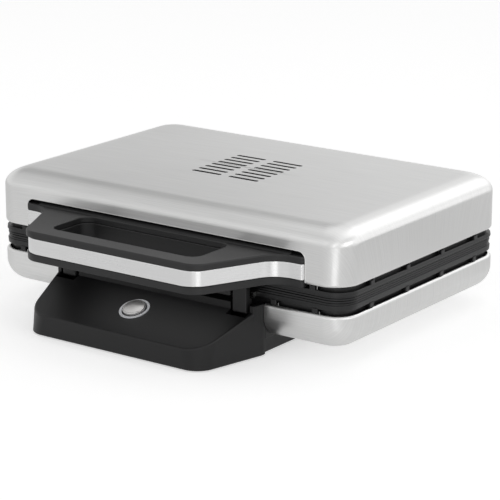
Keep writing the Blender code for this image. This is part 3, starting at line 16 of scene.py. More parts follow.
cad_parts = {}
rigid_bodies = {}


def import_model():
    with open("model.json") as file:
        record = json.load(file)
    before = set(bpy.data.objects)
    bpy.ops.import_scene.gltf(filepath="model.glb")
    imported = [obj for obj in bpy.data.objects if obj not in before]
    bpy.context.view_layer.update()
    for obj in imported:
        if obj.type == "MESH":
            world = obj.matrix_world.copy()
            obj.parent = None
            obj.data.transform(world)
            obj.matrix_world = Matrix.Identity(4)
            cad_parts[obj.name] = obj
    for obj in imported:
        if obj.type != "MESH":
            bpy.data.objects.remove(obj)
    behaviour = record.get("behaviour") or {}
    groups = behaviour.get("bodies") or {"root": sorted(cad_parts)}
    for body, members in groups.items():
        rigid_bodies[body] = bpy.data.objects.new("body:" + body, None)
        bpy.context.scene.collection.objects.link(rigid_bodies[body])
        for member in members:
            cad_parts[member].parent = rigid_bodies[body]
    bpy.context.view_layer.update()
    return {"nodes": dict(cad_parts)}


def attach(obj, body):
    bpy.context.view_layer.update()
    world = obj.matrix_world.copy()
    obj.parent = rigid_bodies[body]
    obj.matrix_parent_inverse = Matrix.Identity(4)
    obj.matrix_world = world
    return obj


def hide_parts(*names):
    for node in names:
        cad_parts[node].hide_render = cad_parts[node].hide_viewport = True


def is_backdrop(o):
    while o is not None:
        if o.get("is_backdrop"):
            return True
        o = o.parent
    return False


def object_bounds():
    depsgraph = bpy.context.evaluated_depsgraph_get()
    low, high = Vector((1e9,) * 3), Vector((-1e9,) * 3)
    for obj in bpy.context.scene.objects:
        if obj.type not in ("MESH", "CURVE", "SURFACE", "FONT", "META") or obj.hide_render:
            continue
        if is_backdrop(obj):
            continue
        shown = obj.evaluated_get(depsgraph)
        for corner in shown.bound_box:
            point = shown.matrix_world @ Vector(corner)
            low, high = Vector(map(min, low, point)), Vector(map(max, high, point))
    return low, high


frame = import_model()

RIGHT_ANGLE = math.pi / 2

# %% [markdown]
# The camera comes first, because it fixes what matters. The pieces are drawn in the frame of the cooking
# body, which stands a little behind the middle of the whole object, so every finished mesh is moved back by
# BODY_Y. The camera stands to the right of the handle and a little above it, about a metre and a half away,
# and looks through a long lens, which keeps the long edges nearly parallel.

# %% Camera
BODY_Y = 0.0225
TURN, RISE = math.radians(35.851), math.radians(16.046)
DISTANCE, LENS_MM, SENSOR_MM = 1.578, 158.0, 36
AIM_ACROSS, AIM_HEIGHT = 0.001776, 0.03556


def new_object(name, data):
    """An object in the scene, made from its data."""
    item = bpy.data.objects.new(name, data)
    bpy.context.scene.collection.objects.link(item)
    return item


across_view = Vector((math.cos(TURN), math.sin(TURN), 0))
towards_camera = Vector((math.sin(TURN) * math.cos(RISE), -math.cos(TURN) * math.cos(RISE), math.sin(RISE)))
upwards_view = towards_camera.cross(across_view)
target = across_view * AIM_ACROSS + Vector((0, BODY_Y, AIM_HEIGHT))

camera = new_object("camera", bpy.data.cameras.new("camera"))
camera.data.sensor_width, camera.data.lens = SENSOR_MM, LENS_MM
axes = Matrix((across_view, upwards_view, towards_camera)).transposed()
camera.matrix_world = Matrix.Translation(target + towards_camera * DISTANCE) @ axes.to_4x4()
bpy.context.scene.camera = camera
bpy.context.scene.view_settings.view_transform = "Standard"
print("camera at", [round(v, 3) for v in camera.matrix_world.translation])

# %% [markdown]
# Every outline on this object is a polygon with rounded corners: the shells, the handle, its window, the
# foot. One function draws them all. To draw an outline smaller, its sides move inwards, and each corner's
# radius shrinks or grows by the same amount, which is what a real offset does.

# %% Outlines
ARC = 4.0


def outline(corners, inset=0.0, arc=ARC):
    """Corners (x, y, radius), anticlockwise, as points.

    Each side moves inwards along its normal n by the inset. Neighbouring sides meet at
    p + (n1 + n2) * inset / (1 + n1.n2). An arc of the corner's radius, less the inset on an outer corner and
    plus the inset on an inner one, touches both sides there.
    """
    table = np.array(corners, float)
    place, radius = table[:, :2], table[:, 2]
    ahead = np.roll(place, -1, 0) - place
    ahead /= np.linalg.norm(ahead, axis=1)[:, None]
    behind = np.roll(ahead, 1, 0)
    first = np.stack([-behind[:, 1], behind[:, 0]], 1)
    second = np.stack([-ahead[:, 1], ahead[:, 0]], 1)
    facing = (first * second).sum(1)
    turn = np.arctan2(behind[:, 0] * ahead[:, 1] - behind[:, 1] * ahead[:, 0], facing)
    side = np.sign(turn)
    corner = place + (first + second) * (inset / (1 + facing))[:, None]
    bend = np.where(radius > 0, np.maximum(radius - inset * side, 0.00005), 0)
    middle = (first + second) / np.linalg.norm(first + second, axis=1)[:, None]
    centre = corner + middle * (side * bend / np.cos(turn / 2))[:, None]
    runs = []
    for index in range(len(table)):
        steps = 0 if radius[index] == 0 else max(2, math.ceil(abs(math.degrees(turn[index])) / arc))
        angle = turn[index] * (np.linspace(0, 1, steps + 1) if steps else np.array([0.5]))
        spoke = first[index] * side[index] * bend[index]
        x = np.cos(angle) * spoke[0] - np.sin(angle) * spoke[1]
        y = np.sin(angle) * spoke[0] + np.cos(angle) * spoke[1]
        runs.append(centre[index] - np.stack([x, y], 1))
    return np.concatenate(runs)


def both_sides(corners):
    """Right-hand corners, front to rear, with their mirror images on the left."""
    return list(corners) + [(-x, y, radius) for x, y, radius in reversed(corners)]


def rectangle(width, depth, radius, x=0.0, y=0.0):
    """The corners of a rounded rectangle about a point."""
    right, left, rear, front = x + width / 2, x - width / 2, y + depth / 2, y - depth / 2
    return [(right, front, radius), (right, rear, radius), (left, rear, radius), (left, front, radius)]


def arc_points(middle, radii, start, end, count):
    """Part of an ellipse about a middle: (x + a cos t, y + b sin t), with t from start to end."""
    t = np.linspace(start, end, count)
    return list(zip(middle[0] + radii[0] * np.cos(t), middle[1] + radii[1] * np.sin(t)))


def lifted(points, height):
    """Flat points given a height, as one row of a surface."""
    return np.column_stack([points, np.broadcast_to(height, len(points))])


print("points on a plain outline:", len(outline(rectangle(0.3, 0.2, 0.018))))

# %% [markdown]
# A surface is a grid of points: rows of outlines, one above the other. The grid's two parameters are the way
# round the outline and the way along the profile. The functions below turn such a grid into a mesh, cut holes
# in it, and finish it, so that each piece later needs only its own formula.

# %% Surfaces
SMOOTH, SHARP = "_smooth", math.radians(32)


def skin(name, grid, wrap=False, sheet=None):
    """A grid of points whose rows close on themselves, its ends capped, or joined with wrap.

    Point (r, i) joins (r, i + 1), (r + 1, i + 1) and (r + 1, i) in one face. Faces are turned outwards, and
    sheet is a flat map (u, v) with a place for every point.
    """
    rows, count = grid.shape[:2]
    r, i = np.arange(rows if wrap else rows - 1)[:, None] * count, np.arange(count)[None, :]
    beside, above = (i + 1) % count, (r + count) % (rows * count)
    faces = np.stack([r + i, r + beside, above + beside, above + i], -1).reshape(-1, 4).tolist()
    if not wrap:
        faces += [list(range(count))[::-1], list(range((rows - 1) * count, rows * count))]
    mesh = bpy.data.meshes.new(name)
    mesh.from_pydata((grid.reshape(-1, 3) + [0, BODY_Y, 0]).tolist(), [], faces)
    if sheet is not None:
        corner_points = np.empty(len(mesh.loops), np.int64)
        mesh.loops.foreach_get("vertex_index", corner_points)
        places = sheet.reshape(-1, 2)[corner_points].astype(np.float32)
        mesh.uv_layers.new(name="sheet").data.foreach_set("uv", places.ravel())
    shape = bmesh.new()
    shape.from_mesh(mesh)
    bmesh.ops.remove_doubles(shape, verts=shape.verts, dist=0.0000005)
    bmesh.ops.recalc_face_normals(shape, faces=shape.faces)
    shape.to_mesh(mesh)
    shape.free()
    return new_object(name, mesh)


def quarter(steps=4):
    """Shares (in, up) along a quarter circle, from its side to its top: in = 1 - cos a, up = sin a."""
    return arc_points((1, 0), (-1, 1), 0, RIGHT_ANGLE, steps + 1)


def layers(corners, rows, arc=ARC):
    """A surface of one outline, drawn in by each row's inset and lifted to its height."""
    return np.stack([lifted(outline(corners, inset, arc), height) for inset, height in rows])


def slab(corners, low, high, under=0.0, over=0.0, arc=ARC):
    """A plate between two heights; its lower and upper edges are quarter circles of their own radii."""
    lower = [(under * a, low + under * (1 - b)) for a, b in quarter()[::-1]] if under else [(0, low)]
    upper = [(over * a, high - over * (1 - b)) for a, b in quarter()] if over else [(0, high)]
    return layers(corners, lower + upper, arc)


def on_edge(grid):
    """A plate drawn flat in (y, z) with its thickness along X, stood up: (a, b, c) becomes (c, a, b)."""
    return grid[..., [2, 0, 1]]


def facing_front(grid):
    """A plate drawn flat in (x, z) with its thickness along Y: (a, b, c) becomes (a, c, b)."""
    return grid[..., [0, 2, 1]]


def across(x, y, z):
    """The place of a turned part whose axis lies along X."""
    return Matrix.Translation((x, y, z)) @ Matrix.Rotation(RIGHT_ANGLE, 4, "Y")


def turned(profile, place, sides):
    """A profile (radius, height) turned about Z, x = r cos t, y = r sin t, z = h, and moved to its place."""
    table, turn = np.array(profile, float), np.array(place)
    angle = np.linspace(0, 2 * math.pi, sides, endpoint=False)
    grid = np.stack([table[:, :1] * np.cos(angle), table[:, :1] * np.sin(angle),
                     np.broadcast_to(table[:, 1:], (len(table), sides))], -1)
    return grid @ turn[:3, :3].T + turn[:3, 3]


def drill(radius, low, high, place, sides):
    """A round plug that bores a hole between two heights on its axis."""
    return skin("drill", turned([(radius, low), (radius, high)], place, sides))


def together(name, items):
    """Several loose pieces gathered in one object."""
    shape = bmesh.new()
    for item in items:
        shape.from_mesh(item.data)
        bpy.data.objects.remove(item)
    mesh = bpy.data.meshes.new(name)
    shape.to_mesh(mesh)
    shape.free()
    return new_object(name, mesh)


def carve(item, *tools):
    """Cut each tool out of a piece for good, and remove the tool."""
    for tool in tools:
        change = item.modifiers.new("cut", "BOOLEAN")
        change.operation, change.solver, change.object = "DIFFERENCE", "EXACT", tool
        bpy.context.view_layer.update()
        seen = item.evaluated_get(bpy.context.evaluated_depsgraph_get())
        result = bpy.data.meshes.new_from_object(seen)
        item.modifiers.clear()
        item.data = result
        bpy.data.objects.remove(tool)
    return item


def finish(item, body, material):
    """Smooth a piece except over its true edges, give it its finish, and let it ride on its body.

    A piece named NAME_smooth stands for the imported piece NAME.
    """
    item.data.materials.clear()
    item.data.materials.append(material)
    item.data.shade_smooth()
    item.data.set_sharp_from_angle(angle=SHARP)
    item.modifiers.new("normals", "WEIGHTED_NORMAL").keep_sharp = True
    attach(item, body)
    if item.name.endswith(SMOOTH):
        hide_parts(item.name.removesuffix(SMOOTH))
    item.data.calc_loop_triangles()
    print(f"{item.name}: {len(item.data.loop_triangles)} triangles on {body}")


print("shares along a quarter circle:", [(round(a, 2), round(b, 2)) for a, b in quarter()])

# %% [markdown]
# Finishes. A finish that a camera believes is never one flat colour. Brushed steel has long fine scratches,
# moulded plastic has a spark-eroded texture, and a coated casting has specks. Each of these effects is a node
# group with named inputs, built once and reused with other values.

# %% Node groups
def feed(tree, node, inputs):
    """Give each input of a node, by its name or number, a link or a value."""
    for key, value in inputs.items():
        if isinstance(value, bpy.types.NodeSocket):
            tree.links.new(value, node.inputs[key])
        else:
            node.inputs[key].default_value = value


def add_node(tree, kind, inputs, **settings):
    """A node of a kind with its settings and its inputs."""
    node = tree.nodes.new(kind)
    for label, value in settings.items():
        setattr(node, label, value)
    feed(tree, node, inputs)
    return node


def new_group(name, values, results):
    """An empty shader group with a vector, named numbers and named results; returns it and its two ends."""
    tree = bpy.data.node_groups.new(name, "ShaderNodeTree")
    tree.interface.new_socket("Vector", in_out="INPUT", socket_type="NodeSocketVector")
    for label, value in values.items():
        tree.interface.new_socket(label, in_out="INPUT", socket_type="NodeSocketFloat").default_value = value
    for label in results:
        tree.interface.new_socket(label, in_out="OUTPUT", socket_type="NodeSocketFloat")
    return tree, tree.nodes.new("NodeGroupInput").outputs, tree.nodes.new("NodeGroupOutput")


def math_node(tree, operation, first, second):
    """The result of a Math node for two links or numbers."""
    return add_node(tree, "ShaderNodeMath", {0: first, 1: second}, operation=operation).outputs[0]


def vector_node(tree, operation, *inputs):
    """The results, Vector and Value, of a Vector Math node for links or vectors."""
    return add_node(tree, "ShaderNodeVectorMath", dict(enumerate(inputs)), operation=operation).outputs


def noise_node(tree, vector, scale, detail=2.0, roughness=0.5):
    """A noise of a given scale; its value lies between 0 and 1."""
    inputs = {"Vector": vector, "Scale": scale, "Detail": detail, "Roughness": roughness}
    return add_node(tree, "ShaderNodeTexNoise", inputs).outputs["Fac"]


def stretch_node(tree, vector, x, y, z):
    """A vector scaled along each axis by links or numbers."""
    scale = add_node(tree, "ShaderNodeCombineXYZ", {0: x, 1: y, 2: z}).outputs[0]
    return vector_node(tree, "MULTIPLY", vector, scale)["Vector"]


# Scratches: noise drawn out along the first axis, fine and, for the sheen, broad.
scratches, given, out = new_group("scratches", {"Length": 0.05, "Width": 0.0006}, ("Fine", "Broad"))
per_length = math_node(scratches, "DIVIDE", 1.0, given["Length"])
per_width = math_node(scratches, "DIVIDE", 1.0, given["Width"])
half_length = math_node(scratches, "MULTIPLY", per_length, 0.5)
some_width = math_node(scratches, "MULTIPLY", per_width, 0.12)
drawn = stretch_node(scratches, given["Vector"], per_length, per_width, 1.0)
wide = stretch_node(scratches, given["Vector"], half_length, some_width, 1.0)
feed(scratches, out, {"Fine": noise_node(scratches, drawn, 1.0, 3.0, 0.6),
                      "Broad": noise_node(scratches, wide, 1.0)})

# Moulded skin: the fine round grain that a spark-eroded tool leaves, with a slow change of sheen over it.
moulded, given, out = new_group("moulded skin", {"Grain": 0.0004}, ("Sheen", "Height"))
per_grain = math_node(moulded, "DIVIDE", 1.0, given["Grain"])
tight = stretch_node(moulded, given["Vector"], per_grain, per_grain, per_grain)
feed(moulded, out, {"Height": noise_node(moulded, tight, 1.0, 1.0),
                    "Sheen": noise_node(moulded, given["Vector"], 26.0, 3.0)})

# Specks: sparse round spots of a given size, as in a sprayed coating or a cast surface.
specks, given, out = new_group("specks", {"Size": 0.0012, "Share": 0.12}, ("Spots", "Height"))
per_size = math_node(specks, "DIVIDE", 1.0, given["Size"])
cells = add_node(specks, "ShaderNodeTexVoronoi", {
    "Vector": stretch_node(specks, given["Vector"], per_size, per_size, per_size), "Scale": 1.0}).outputs
reach = math_node(specks, "MULTIPLY", given["Share"], 2.0)
feed(specks, out, {"Spots": math_node(specks, "LESS_THAN", cells["Distance"], reach),
                   "Height": noise_node(specks, given["Vector"], 2400.0, 1.0)})
print("groups:", [g.name for g in bpy.data.node_groups])

# %% [markdown]
# The materials. On the real object the shells, the strip and the button are brushed steel, the frames, the
# handle and the foot are moulded plastic, and the plates carry a sprayed non-stick coating. Brushed steel
# could be drawn with a picture of scratches, but noise stretched along the grain never repeats and stays
# sharp up close. Every plastic gets its own depth and sheen, because the parts come from different moulds.
# The foot's is the darkest, partly its own black and partly painted shade, because the foot lies under the
# handle.

# %% Materials
def new_material(name):
    """A material with its shader ready; returns the material, its tree and its shader."""
    material = bpy.data.materials.new(name)
    material.use_nodes = True
    return material, material.node_tree, material.node_tree.nodes["Principled BSDF"]


def place_group(tree, group, vector, **values):
    """The results of a group placed in a material, fed with a vector and with its own values."""
    return add_node(tree, "ShaderNodeGroup", {"Vector": vector, **values}, node_tree=group).outputs


def blend_colour(tree, share, first, second):
    """A colour between two, by a share that changes over the surface."""
    inputs = {"A": (*first, 1), "B": (*second, 1), "Factor": share}
    return add_node(tree, "ShaderNodeMix", inputs, data_type="RGBA").outputs["Result"]


def spread(tree, value, low, high, start=0.0, end=1.0, curve="LINEAR"):
    """A value between start and end moved to a range, in proportion or along an S curve."""
    inputs = {"Value": value, "From Min": start, "From Max": end, "To Min": low, "To Max": high}
    return add_node(tree, "ShaderNodeMapRange", inputs, interpolation_type=curve).outputs["Result"]


def bump(tree, height, strength, distance):
    """The normal that a height gives a surface."""
    inputs = {"Strength": strength, "Distance": distance, "Height": height}
    return add_node(tree, "ShaderNodeBump", inputs).outputs["Normal"]


def object_vector(tree):
    """Object coordinates, which stay with the piece."""
    return add_node(tree, "ShaderNodeTexCoord", {}).outputs["Object"]


def brushed(name, dark, light, rough, length, width, stretch=None):
    """Brushed metal. With a stretch, the scratches follow the flat sheet before it was pressed.

    A highlight on brushed metal is drawn out across the scratches, so there the reflection is stretched too.
    Without it, the scratches run along the first axis of the piece.
    """
    material, tree, shader = new_material(name)
    if stretch:
        vector = add_node(tree, "ShaderNodeUVMap", {}, uv_map="sheet").outputs["UV"]
        along = add_node(tree, "ShaderNodeTangent", {}, direction_type="UV_MAP", uv_map="sheet")
        feed(tree, shader, {"Tangent": along.outputs["Tangent"], "Anisotropic": stretch,
                            "Anisotropic Rotation": 0.25})
    else:
        vector = object_vector(tree)
    marks = place_group(tree, scratches, vector, Length=length, Width=width)
    feed(tree, shader, {
        "Base Color": blend_colour(tree, spread(tree, marks["Fine"], 0.1, 0.9), dark, light),
        "Roughness": spread(tree, marks["Broad"], *rough),
        "Normal": bump(tree, marks["Fine"], 0.25, 0.000004),
        "Metallic": 1.0})
    return material


def plastic(name, dark, light, rough, grain, depth, gloss=0.42):
    """Moulded plastic with a fine skin; its sheen drifts a little from place to place."""
    material, tree, shader = new_material(name)
    mould = place_group(tree, moulded, object_vector(tree), Grain=grain)
    feed(tree, shader, {
        "Base Color": blend_colour(tree, mould["Sheen"], dark, light),
        "Roughness": spread(tree, mould["Sheen"], *rough),
        "Normal": bump(tree, mould["Height"], 0.35, depth),
        "Specular IOR Level": gloss})
    return material


STEEL = brushed("brushed steel", (0.58, 0.58, 0.575), (0.80, 0.80, 0.795), (0.30, 0.37), 0.045, 0.0007, 0.82)
BAND = brushed("brushed band", (0.64, 0.64, 0.64), (0.80, 0.80, 0.80), (0.24, 0.30), 0.03, 0.0005, 0.9)
BUTTON = brushed("turned button", (0.52, 0.51, 0.50), (0.68, 0.67, 0.66), (0.16, 0.24), 0.02, 0.0003, 0.4)
PIN = brushed("plated pin", (0.50, 0.50, 0.49), (0.64, 0.64, 0.63), (0.18, 0.28), 0.004, 0.0003)
ALUMINIUM = brushed("rolled aluminium", (0.66, 0.67, 0.68), (0.80, 0.81, 0.82), (0.30, 0.42), 0.06, 0.0010)
SHEATH = brushed("heater sheath", (0.17, 0.14, 0.12), (0.33, 0.29, 0.25), (0.38, 0.55), 0.01, 0.0008)
FRAME = plastic("satin black plastic", (0.006, 0.006, 0.0065), (0.010, 0.010, 0.0105), (0.34, 0.42),
                0.0005, 0.000010)
HANDLE = plastic("handle plastic", (0.011, 0.011, 0.0115), (0.016, 0.016, 0.0165), (0.44, 0.54),
                 0.0004, 0.000014, 0.45)
# The foot's plastic is partly its own black and partly painted shade: it is the darkest because the foot lies
# under the handle.
SHADED_FOOT = plastic("foot plastic", (0.003, 0.003, 0.0033), (0.005, 0.005, 0.0055), (0.38, 0.46),
               0.0004, 0.000014, 0.36)
# Painted shade: a near-black sheet under the vents that stands for the shadow inside the lid.
VENT_SHADE = plastic("matte liner", (0.002, 0.002, 0.002), (0.003, 0.003, 0.003), (0.70, 0.85),
                0.0006, 0.000010, 0.05)
RUBBER = plastic("pad rubber", (0.016, 0.016, 0.016), (0.026, 0.026, 0.026), (0.80, 0.92), 0.0006, 0.000020)
CERAMIC = plastic("pressed ceramic", (0.66, 0.62, 0.54), (0.76, 0.73, 0.66), (0.60, 0.75), 0.0008, 0.000020)
LAMINATE = plastic("board laminate", (0.05, 0.16, 0.07), (0.07, 0.22, 0.10), (0.35, 0.50), 0.0006, 0.000006)

COATING, tree, shader = new_material("non-stick coating")
sprayed = place_group(tree, specks, object_vector(tree), Size=0.0016, Share=0.10)
feed(tree, shader, {
    "Base Color": blend_colour(tree, sprayed["Spots"], (0.030, 0.029, 0.031), (0.085, 0.083, 0.085)),
    "Roughness": spread(tree, sprayed["Spots"], 0.40, 0.30),
    "Normal": bump(tree, sprayed["Height"], 0.3, 0.000020)})

LENS, tree, shader = new_material("frosted ring")
frost = place_group(tree, moulded, object_vector(tree), Grain=0.0006)
feed(tree, shader, {
    "Base Color": blend_colour(tree, frost["Sheen"], (0.70, 0.71, 0.74), (0.84, 0.85, 0.88)),
    "Roughness": spread(tree, frost["Height"], 0.22, 0.34),
    "Subsurface Weight": 0.3, "Subsurface Radius": (0.002, 0.002, 0.002), "Coat Weight": 0.4})

print("materials:", len(bpy.data.materials))

# %% [markdown]
# The shells. Each is pressed from one flat brushed sheet, so the scratches run across the top, straight down
# the two ends and level along the front. A flat map gives every point its place on the sheet before pressing:
# the place on the face, moved outwards by the length of the profile down to the point.
# The profile starts at the rolled rim, goes up the wall, round the large edge and ends on the face. The lid's
# face is slightly crowned, which keeps a thin top stiff, so it rises a little towards its middle.

# %% Shell surface
WIDTH, DEPTH, CORNER, SHEET = 0.300, 0.2024, 0.018, 0.0008
FRONT, REAR = -DEPTH / 2, DEPTH / 2
LID_RIM, LID_TOP, LID_EDGE, CROWN = 0.0560, 0.0965, (0.0180, 0.0122), 0.0013
BASE_RIM, BASE_FLOOR, BASE_EDGE = 0.0369, 0.0127, (0.0150, 0.0155)
FACE_CORNER = 0.0075
ROLL_IN, ROLL_UP, SIDE_POINTS = 0.0020, 0.0022, 14
FACE_ROWS = np.array([0.0010, 0.0030, 0.0080, 0.0160, 0.0280, 0.0420, 0.0560, 0.0700, 0.0820])


def body_outline(inset, corner, wide=0.0):
    """The body's outline drawn in by an inset, and drawn out by wide at its two ends."""
    return outline(rectangle(WIDTH - 2 * inset + 2 * wide, DEPTH - 2 * inset, corner))


def crown_height(points, edge, crown):
    """The rise of a crowned face over its edge: crown (1 - u^2) (1 - v^2), u and v from -1 to 1 across it."""
    u, v = points[:, 0] / (WIDTH / 2 - edge[0]), points[:, 1] / (DEPTH / 2 - edge[0])
    return crown * (1 - u ** 2) * (1 - v ** 2)


def with_sides(points):
    """An outline with more points on its four straight sides, so that a crowned face can bend there."""
    arcs = points.reshape(4, -1, 2)
    last, following = arcs[:, -1:], np.roll(arcs, -1, 0)[:, :1]
    sides = last + (following - last) * np.linspace(0, 1, SIDE_POINTS + 2)[None, 1:-1, None]
    return np.concatenate([arcs, sides], 1).reshape(-1, 2)


def shell_profile(height, edge, lift):
    """Rows (inset, distance from the rim) of a shell, at a lift inside its outer face, up to the face.

    The edge is a quarter of an ellipse: inset = deep - (deep - lift) cos a, and
    rise = height - tall + (tall - lift) sin a.
    """
    deep, tall = edge
    roll = arc_points((ROLL_IN, ROLL_UP), (lift - ROLL_IN, lift - ROLL_UP), RIGHT_ANGLE, 0, 7)
    turn = arc_points((deep, height - tall), (lift - deep, tall - lift), 0, RIGHT_ANGLE, 19)
    return np.array(roll + turn + [(inset, height - lift) for inset in deep + FACE_ROWS])


def shell(name, rim, far, edge, crown=0.0):
    """A pressed shell: the inner rows from the face to the rim, then the outer rows back to the face."""
    height, up, deep = abs(far - rim), 1 if far > rim else -1, edge[0]
    rows = np.concatenate([shell_profile(height, edge, SHEET)[::-1], shell_profile(height, edge, 0)])
    along = np.concatenate([[0], np.cumsum(np.linalg.norm(np.diff(rows, axis=0), axis=1))])
    first, last = along[rows[:, 0] <= deep + 1e-9][[0, -1]]
    down = np.abs(along - np.where(np.arange(len(rows)) < len(rows) // 2, first, last))
    grid, sheet = [], []
    face = with_sides(body_outline(deep, FACE_CORNER))
    for (inset, rise), length in zip(rows, down):
        corner = CORNER + (FACE_CORNER - CORNER) * min(max(inset, 0), deep) / deep
        points = with_sides(body_outline(inset, min(corner, DEPTH / 2 - inset - 0.0010)))
        bulge = crown_height(points, edge, crown) if inset > deep else 0
        grid.append(lifted(points, rim + up * (rise + bulge)))
        away = points - face
        away /= np.maximum(np.linalg.norm(away, axis=1), 1e-9)[:, None]
        flat = np.abs(points) < np.abs(face) + 1e-9
        sheet.append(np.where(flat, points, face + away * length))
    return skin(name, np.stack(grid), sheet=np.stack(sheet))


print("rows of the lid's profile:", len(shell_profile(LID_TOP - LID_RIM, LID_EDGE, 0)))

# %% [markdown]
# The lid shell. The real one is drawn from sheet steel, then two columns of vents are punched through the top
# and a wide notch is cut in the front wall for the handle. The cuts could be modelled into the surface, but
# cutting the finished shell with plugs is how a press does it, and it leaves true walls as thick as the
# sheet. Just under the vents sits a dark liner. It is painted shade: a near-black sheet that stands for the
# shadow one sees through the slots.

# %% Lid shell with its vents and its notch
VENT_LENGTH, VENT_WIDTH, VENT_PITCH, VENT_COLUMN, VENT_ROWS = 0.0252, 0.0033, 0.0077, 0.0160, 8
NOTCH_HALF, NOTCH_TOP, NOTCH_CORNER = 0.1193, 0.0776, 0.0055
NECK = FRONT + 0.0050


def vent_plates(name, low, high, grow=0.0):
    """A plate at every vent, a little larger than the vent, between two heights from the crowned face."""
    plates = []
    for side in (-1, 1):
        for row in range(VENT_ROWS):
            x, y = side * VENT_COLUMN, (row - (VENT_ROWS - 1) / 2) * VENT_PITCH
            top = LID_TOP - CROWN + crown_height(np.array([[x, y]]), LID_EDGE, CROWN)[0]
            place = rectangle(VENT_LENGTH + grow, VENT_WIDTH + grow, VENT_WIDTH * 0.48, x, y)
            plates.append(skin("plate", slab(place, top + low, top + high, arc=15)))
    return together(name, plates)


def notch_corners(low):
    """The notch in the lid's front wall, as corners (x, z), open below."""
    return both_sides([(NOTCH_HALF, low, 0), (NOTCH_HALF, NOTCH_TOP, NOTCH_CORNER)])


lid = shell("lid_shell_smooth", LID_RIM, LID_TOP - CROWN, LID_EDGE, CROWN)
notch = skin("notch", facing_front(slab(notch_corners(LID_RIM - 0.003), FRONT - 0.003, NECK)))
carve(lid, vent_plates("slots", -0.002, 0.001), notch)
finish(lid, "lid", STEEL)
# The liner is painted shade, seen through the slots where the inside of the lid lies in shadow.
finish(vent_plates("vent_liner", -0.00118, -0.00018, 0.0001), "lid", VENT_SHADE)

# %% [markdown]
# A cut edge of thin steel is sharp, so the real notch has a folded hem. It could be a bevel on the shell, but
# a bead of its own along the same outline catches the light in one clean line all the way round.

# %% Hem round the notch
HEM, HEM_Y, HEM_SIDES = 0.0004, FRONT + 0.00025, 10
t = np.linspace(0, 2 * math.pi, HEM_SIDES, endpoint=False)
section = zip(HEM * np.cos(t), HEM_Y + HEM * np.sin(t))
bead = layers(notch_corners(LID_RIM + 0.0012), section).transpose(1, 0, 2)
finish(skin("notch_hem", facing_front(bead), sheet=bead[..., :2]), "lid", STEEL)

# %% [markdown]
# The base shell is the same pressing turned over, with a rounder edge. The front is cut open between the
# sides of the foot, and a round hole at the rear takes the cord. One function draws both shells, so their
# walls and corners stay in line when the sizes change.

# %% Base shell, open at the front for the foot
OPENING, OPENING_ROUND = 0.0866, 0.0010
GLAND_Z, GLAND_HOLE = 0.0298, 0.0048

tray = shell("base_shell_smooth", BASE_RIM, BASE_FLOOR, BASE_EDGE)
bend = (OPENING + OPENING_ROUND, BASE_FLOOR + OPENING_ROUND)
bow = arc_points(bend, (-OPENING_ROUND, -OPENING_ROUND), RIGHT_ANGLE, 0, 10)
half = np.array([(bend[0], BASE_FLOOR - 0.003), *bow, (OPENING, BASE_RIM + 0.003)])
section = np.concatenate([half, half[::-1] * [-1, 1]])
rows = np.stack([lifted(section, y) for y in (FRONT - 0.003, FRONT + BASE_EDGE[0])])
gland_place = Matrix.Translation((0, REAR, GLAND_Z)) @ Matrix.Rotation(-RIGHT_ANGLE, 4, "X")
carve(tray, skin("opening", facing_front(rows)), drill(GLAND_HOLE, -0.008, 0.008, gland_place, 48))
finish(tray, "base", STEEL)

# %% [markdown]
# The frames. Each steel shell sits on a black plastic frame, and the two frames meet at the parting line.
# Their section is carried round the body: a proud strip next to the shell, a recessed part with one fine
# groove, and behind it the neck that the shell slips over. The small lugs keep the gap to the shell even.

# %% Frame surface
BAND_INSET, GROOVE, SOFT = 0.0015, 0.0022, 0.0004
BASE_FACE, LID_FACE = 0.0470, 0.0474
LID_BAND_HIGH, BASE_BAND_LOW = 0.0530, 0.0403
OUTER_INSET = 0.006
HINGE_X, HINGE_Y, HINGE_Z = 0.0900, REAR + 0.0063, 0.0472
KNUCKLE, KNUCKLE_SOFT, BORE = 0.0060, 0.0005, 0.0022


def frame_section(face, away, strip, height):
    """The section (inset, z) of a frame: its groove, the strip with softened edges, the neck and the back."""
    step, line = height - strip, (height - strip) / 2
    rows = [(GROOVE + 0.0002, 0), (GROOVE, 0.0002),
            (GROOVE, line - 0.0003), (GROOVE + 0.0002, line - 0.00018), (GROOVE + 0.0004, line),
            (GROOVE + 0.0002, line + 0.00018), (GROOVE, line + 0.0003), (GROOVE, step)]
    rows += arc_points((BAND_INSET + SOFT, step + SOFT), (-SOFT, -SOFT), RIGHT_ANGLE, 0, 4)
    rows += arc_points((BAND_INSET + 0.0002 + SOFT, height - SOFT), (-SOFT, SOFT), 0, RIGHT_ANGLE, 4)
    rows += [(0.0050, height), (0.0050, height + 0.0090), (0.0075, height + 0.0090), (0.0075, height),
             (0.0140, height), (0.0140, 0.0020), (0.0170, 0.0020), (0.0170, 0)]
    return [(inset, face + away * rise) for inset, rise in rows]


def frame_ring(face, away, strip, height, wide):
    """The section carried round the body: every point of it draws one outline, drawn in by its inset.

    The outer points stand out by wide at the two ends of the body, so that the band is nearly level with the
    shell.
    """
    rows = []
    for inset, z in frame_section(face, away, strip, height):
        points = body_outline(inset, max(CORNER - inset, 0.004), wide if inset < OUTER_INSET else 0)
        rows.append(lifted(points, z))
    return skin("ring", np.stack(rows), wrap=True)


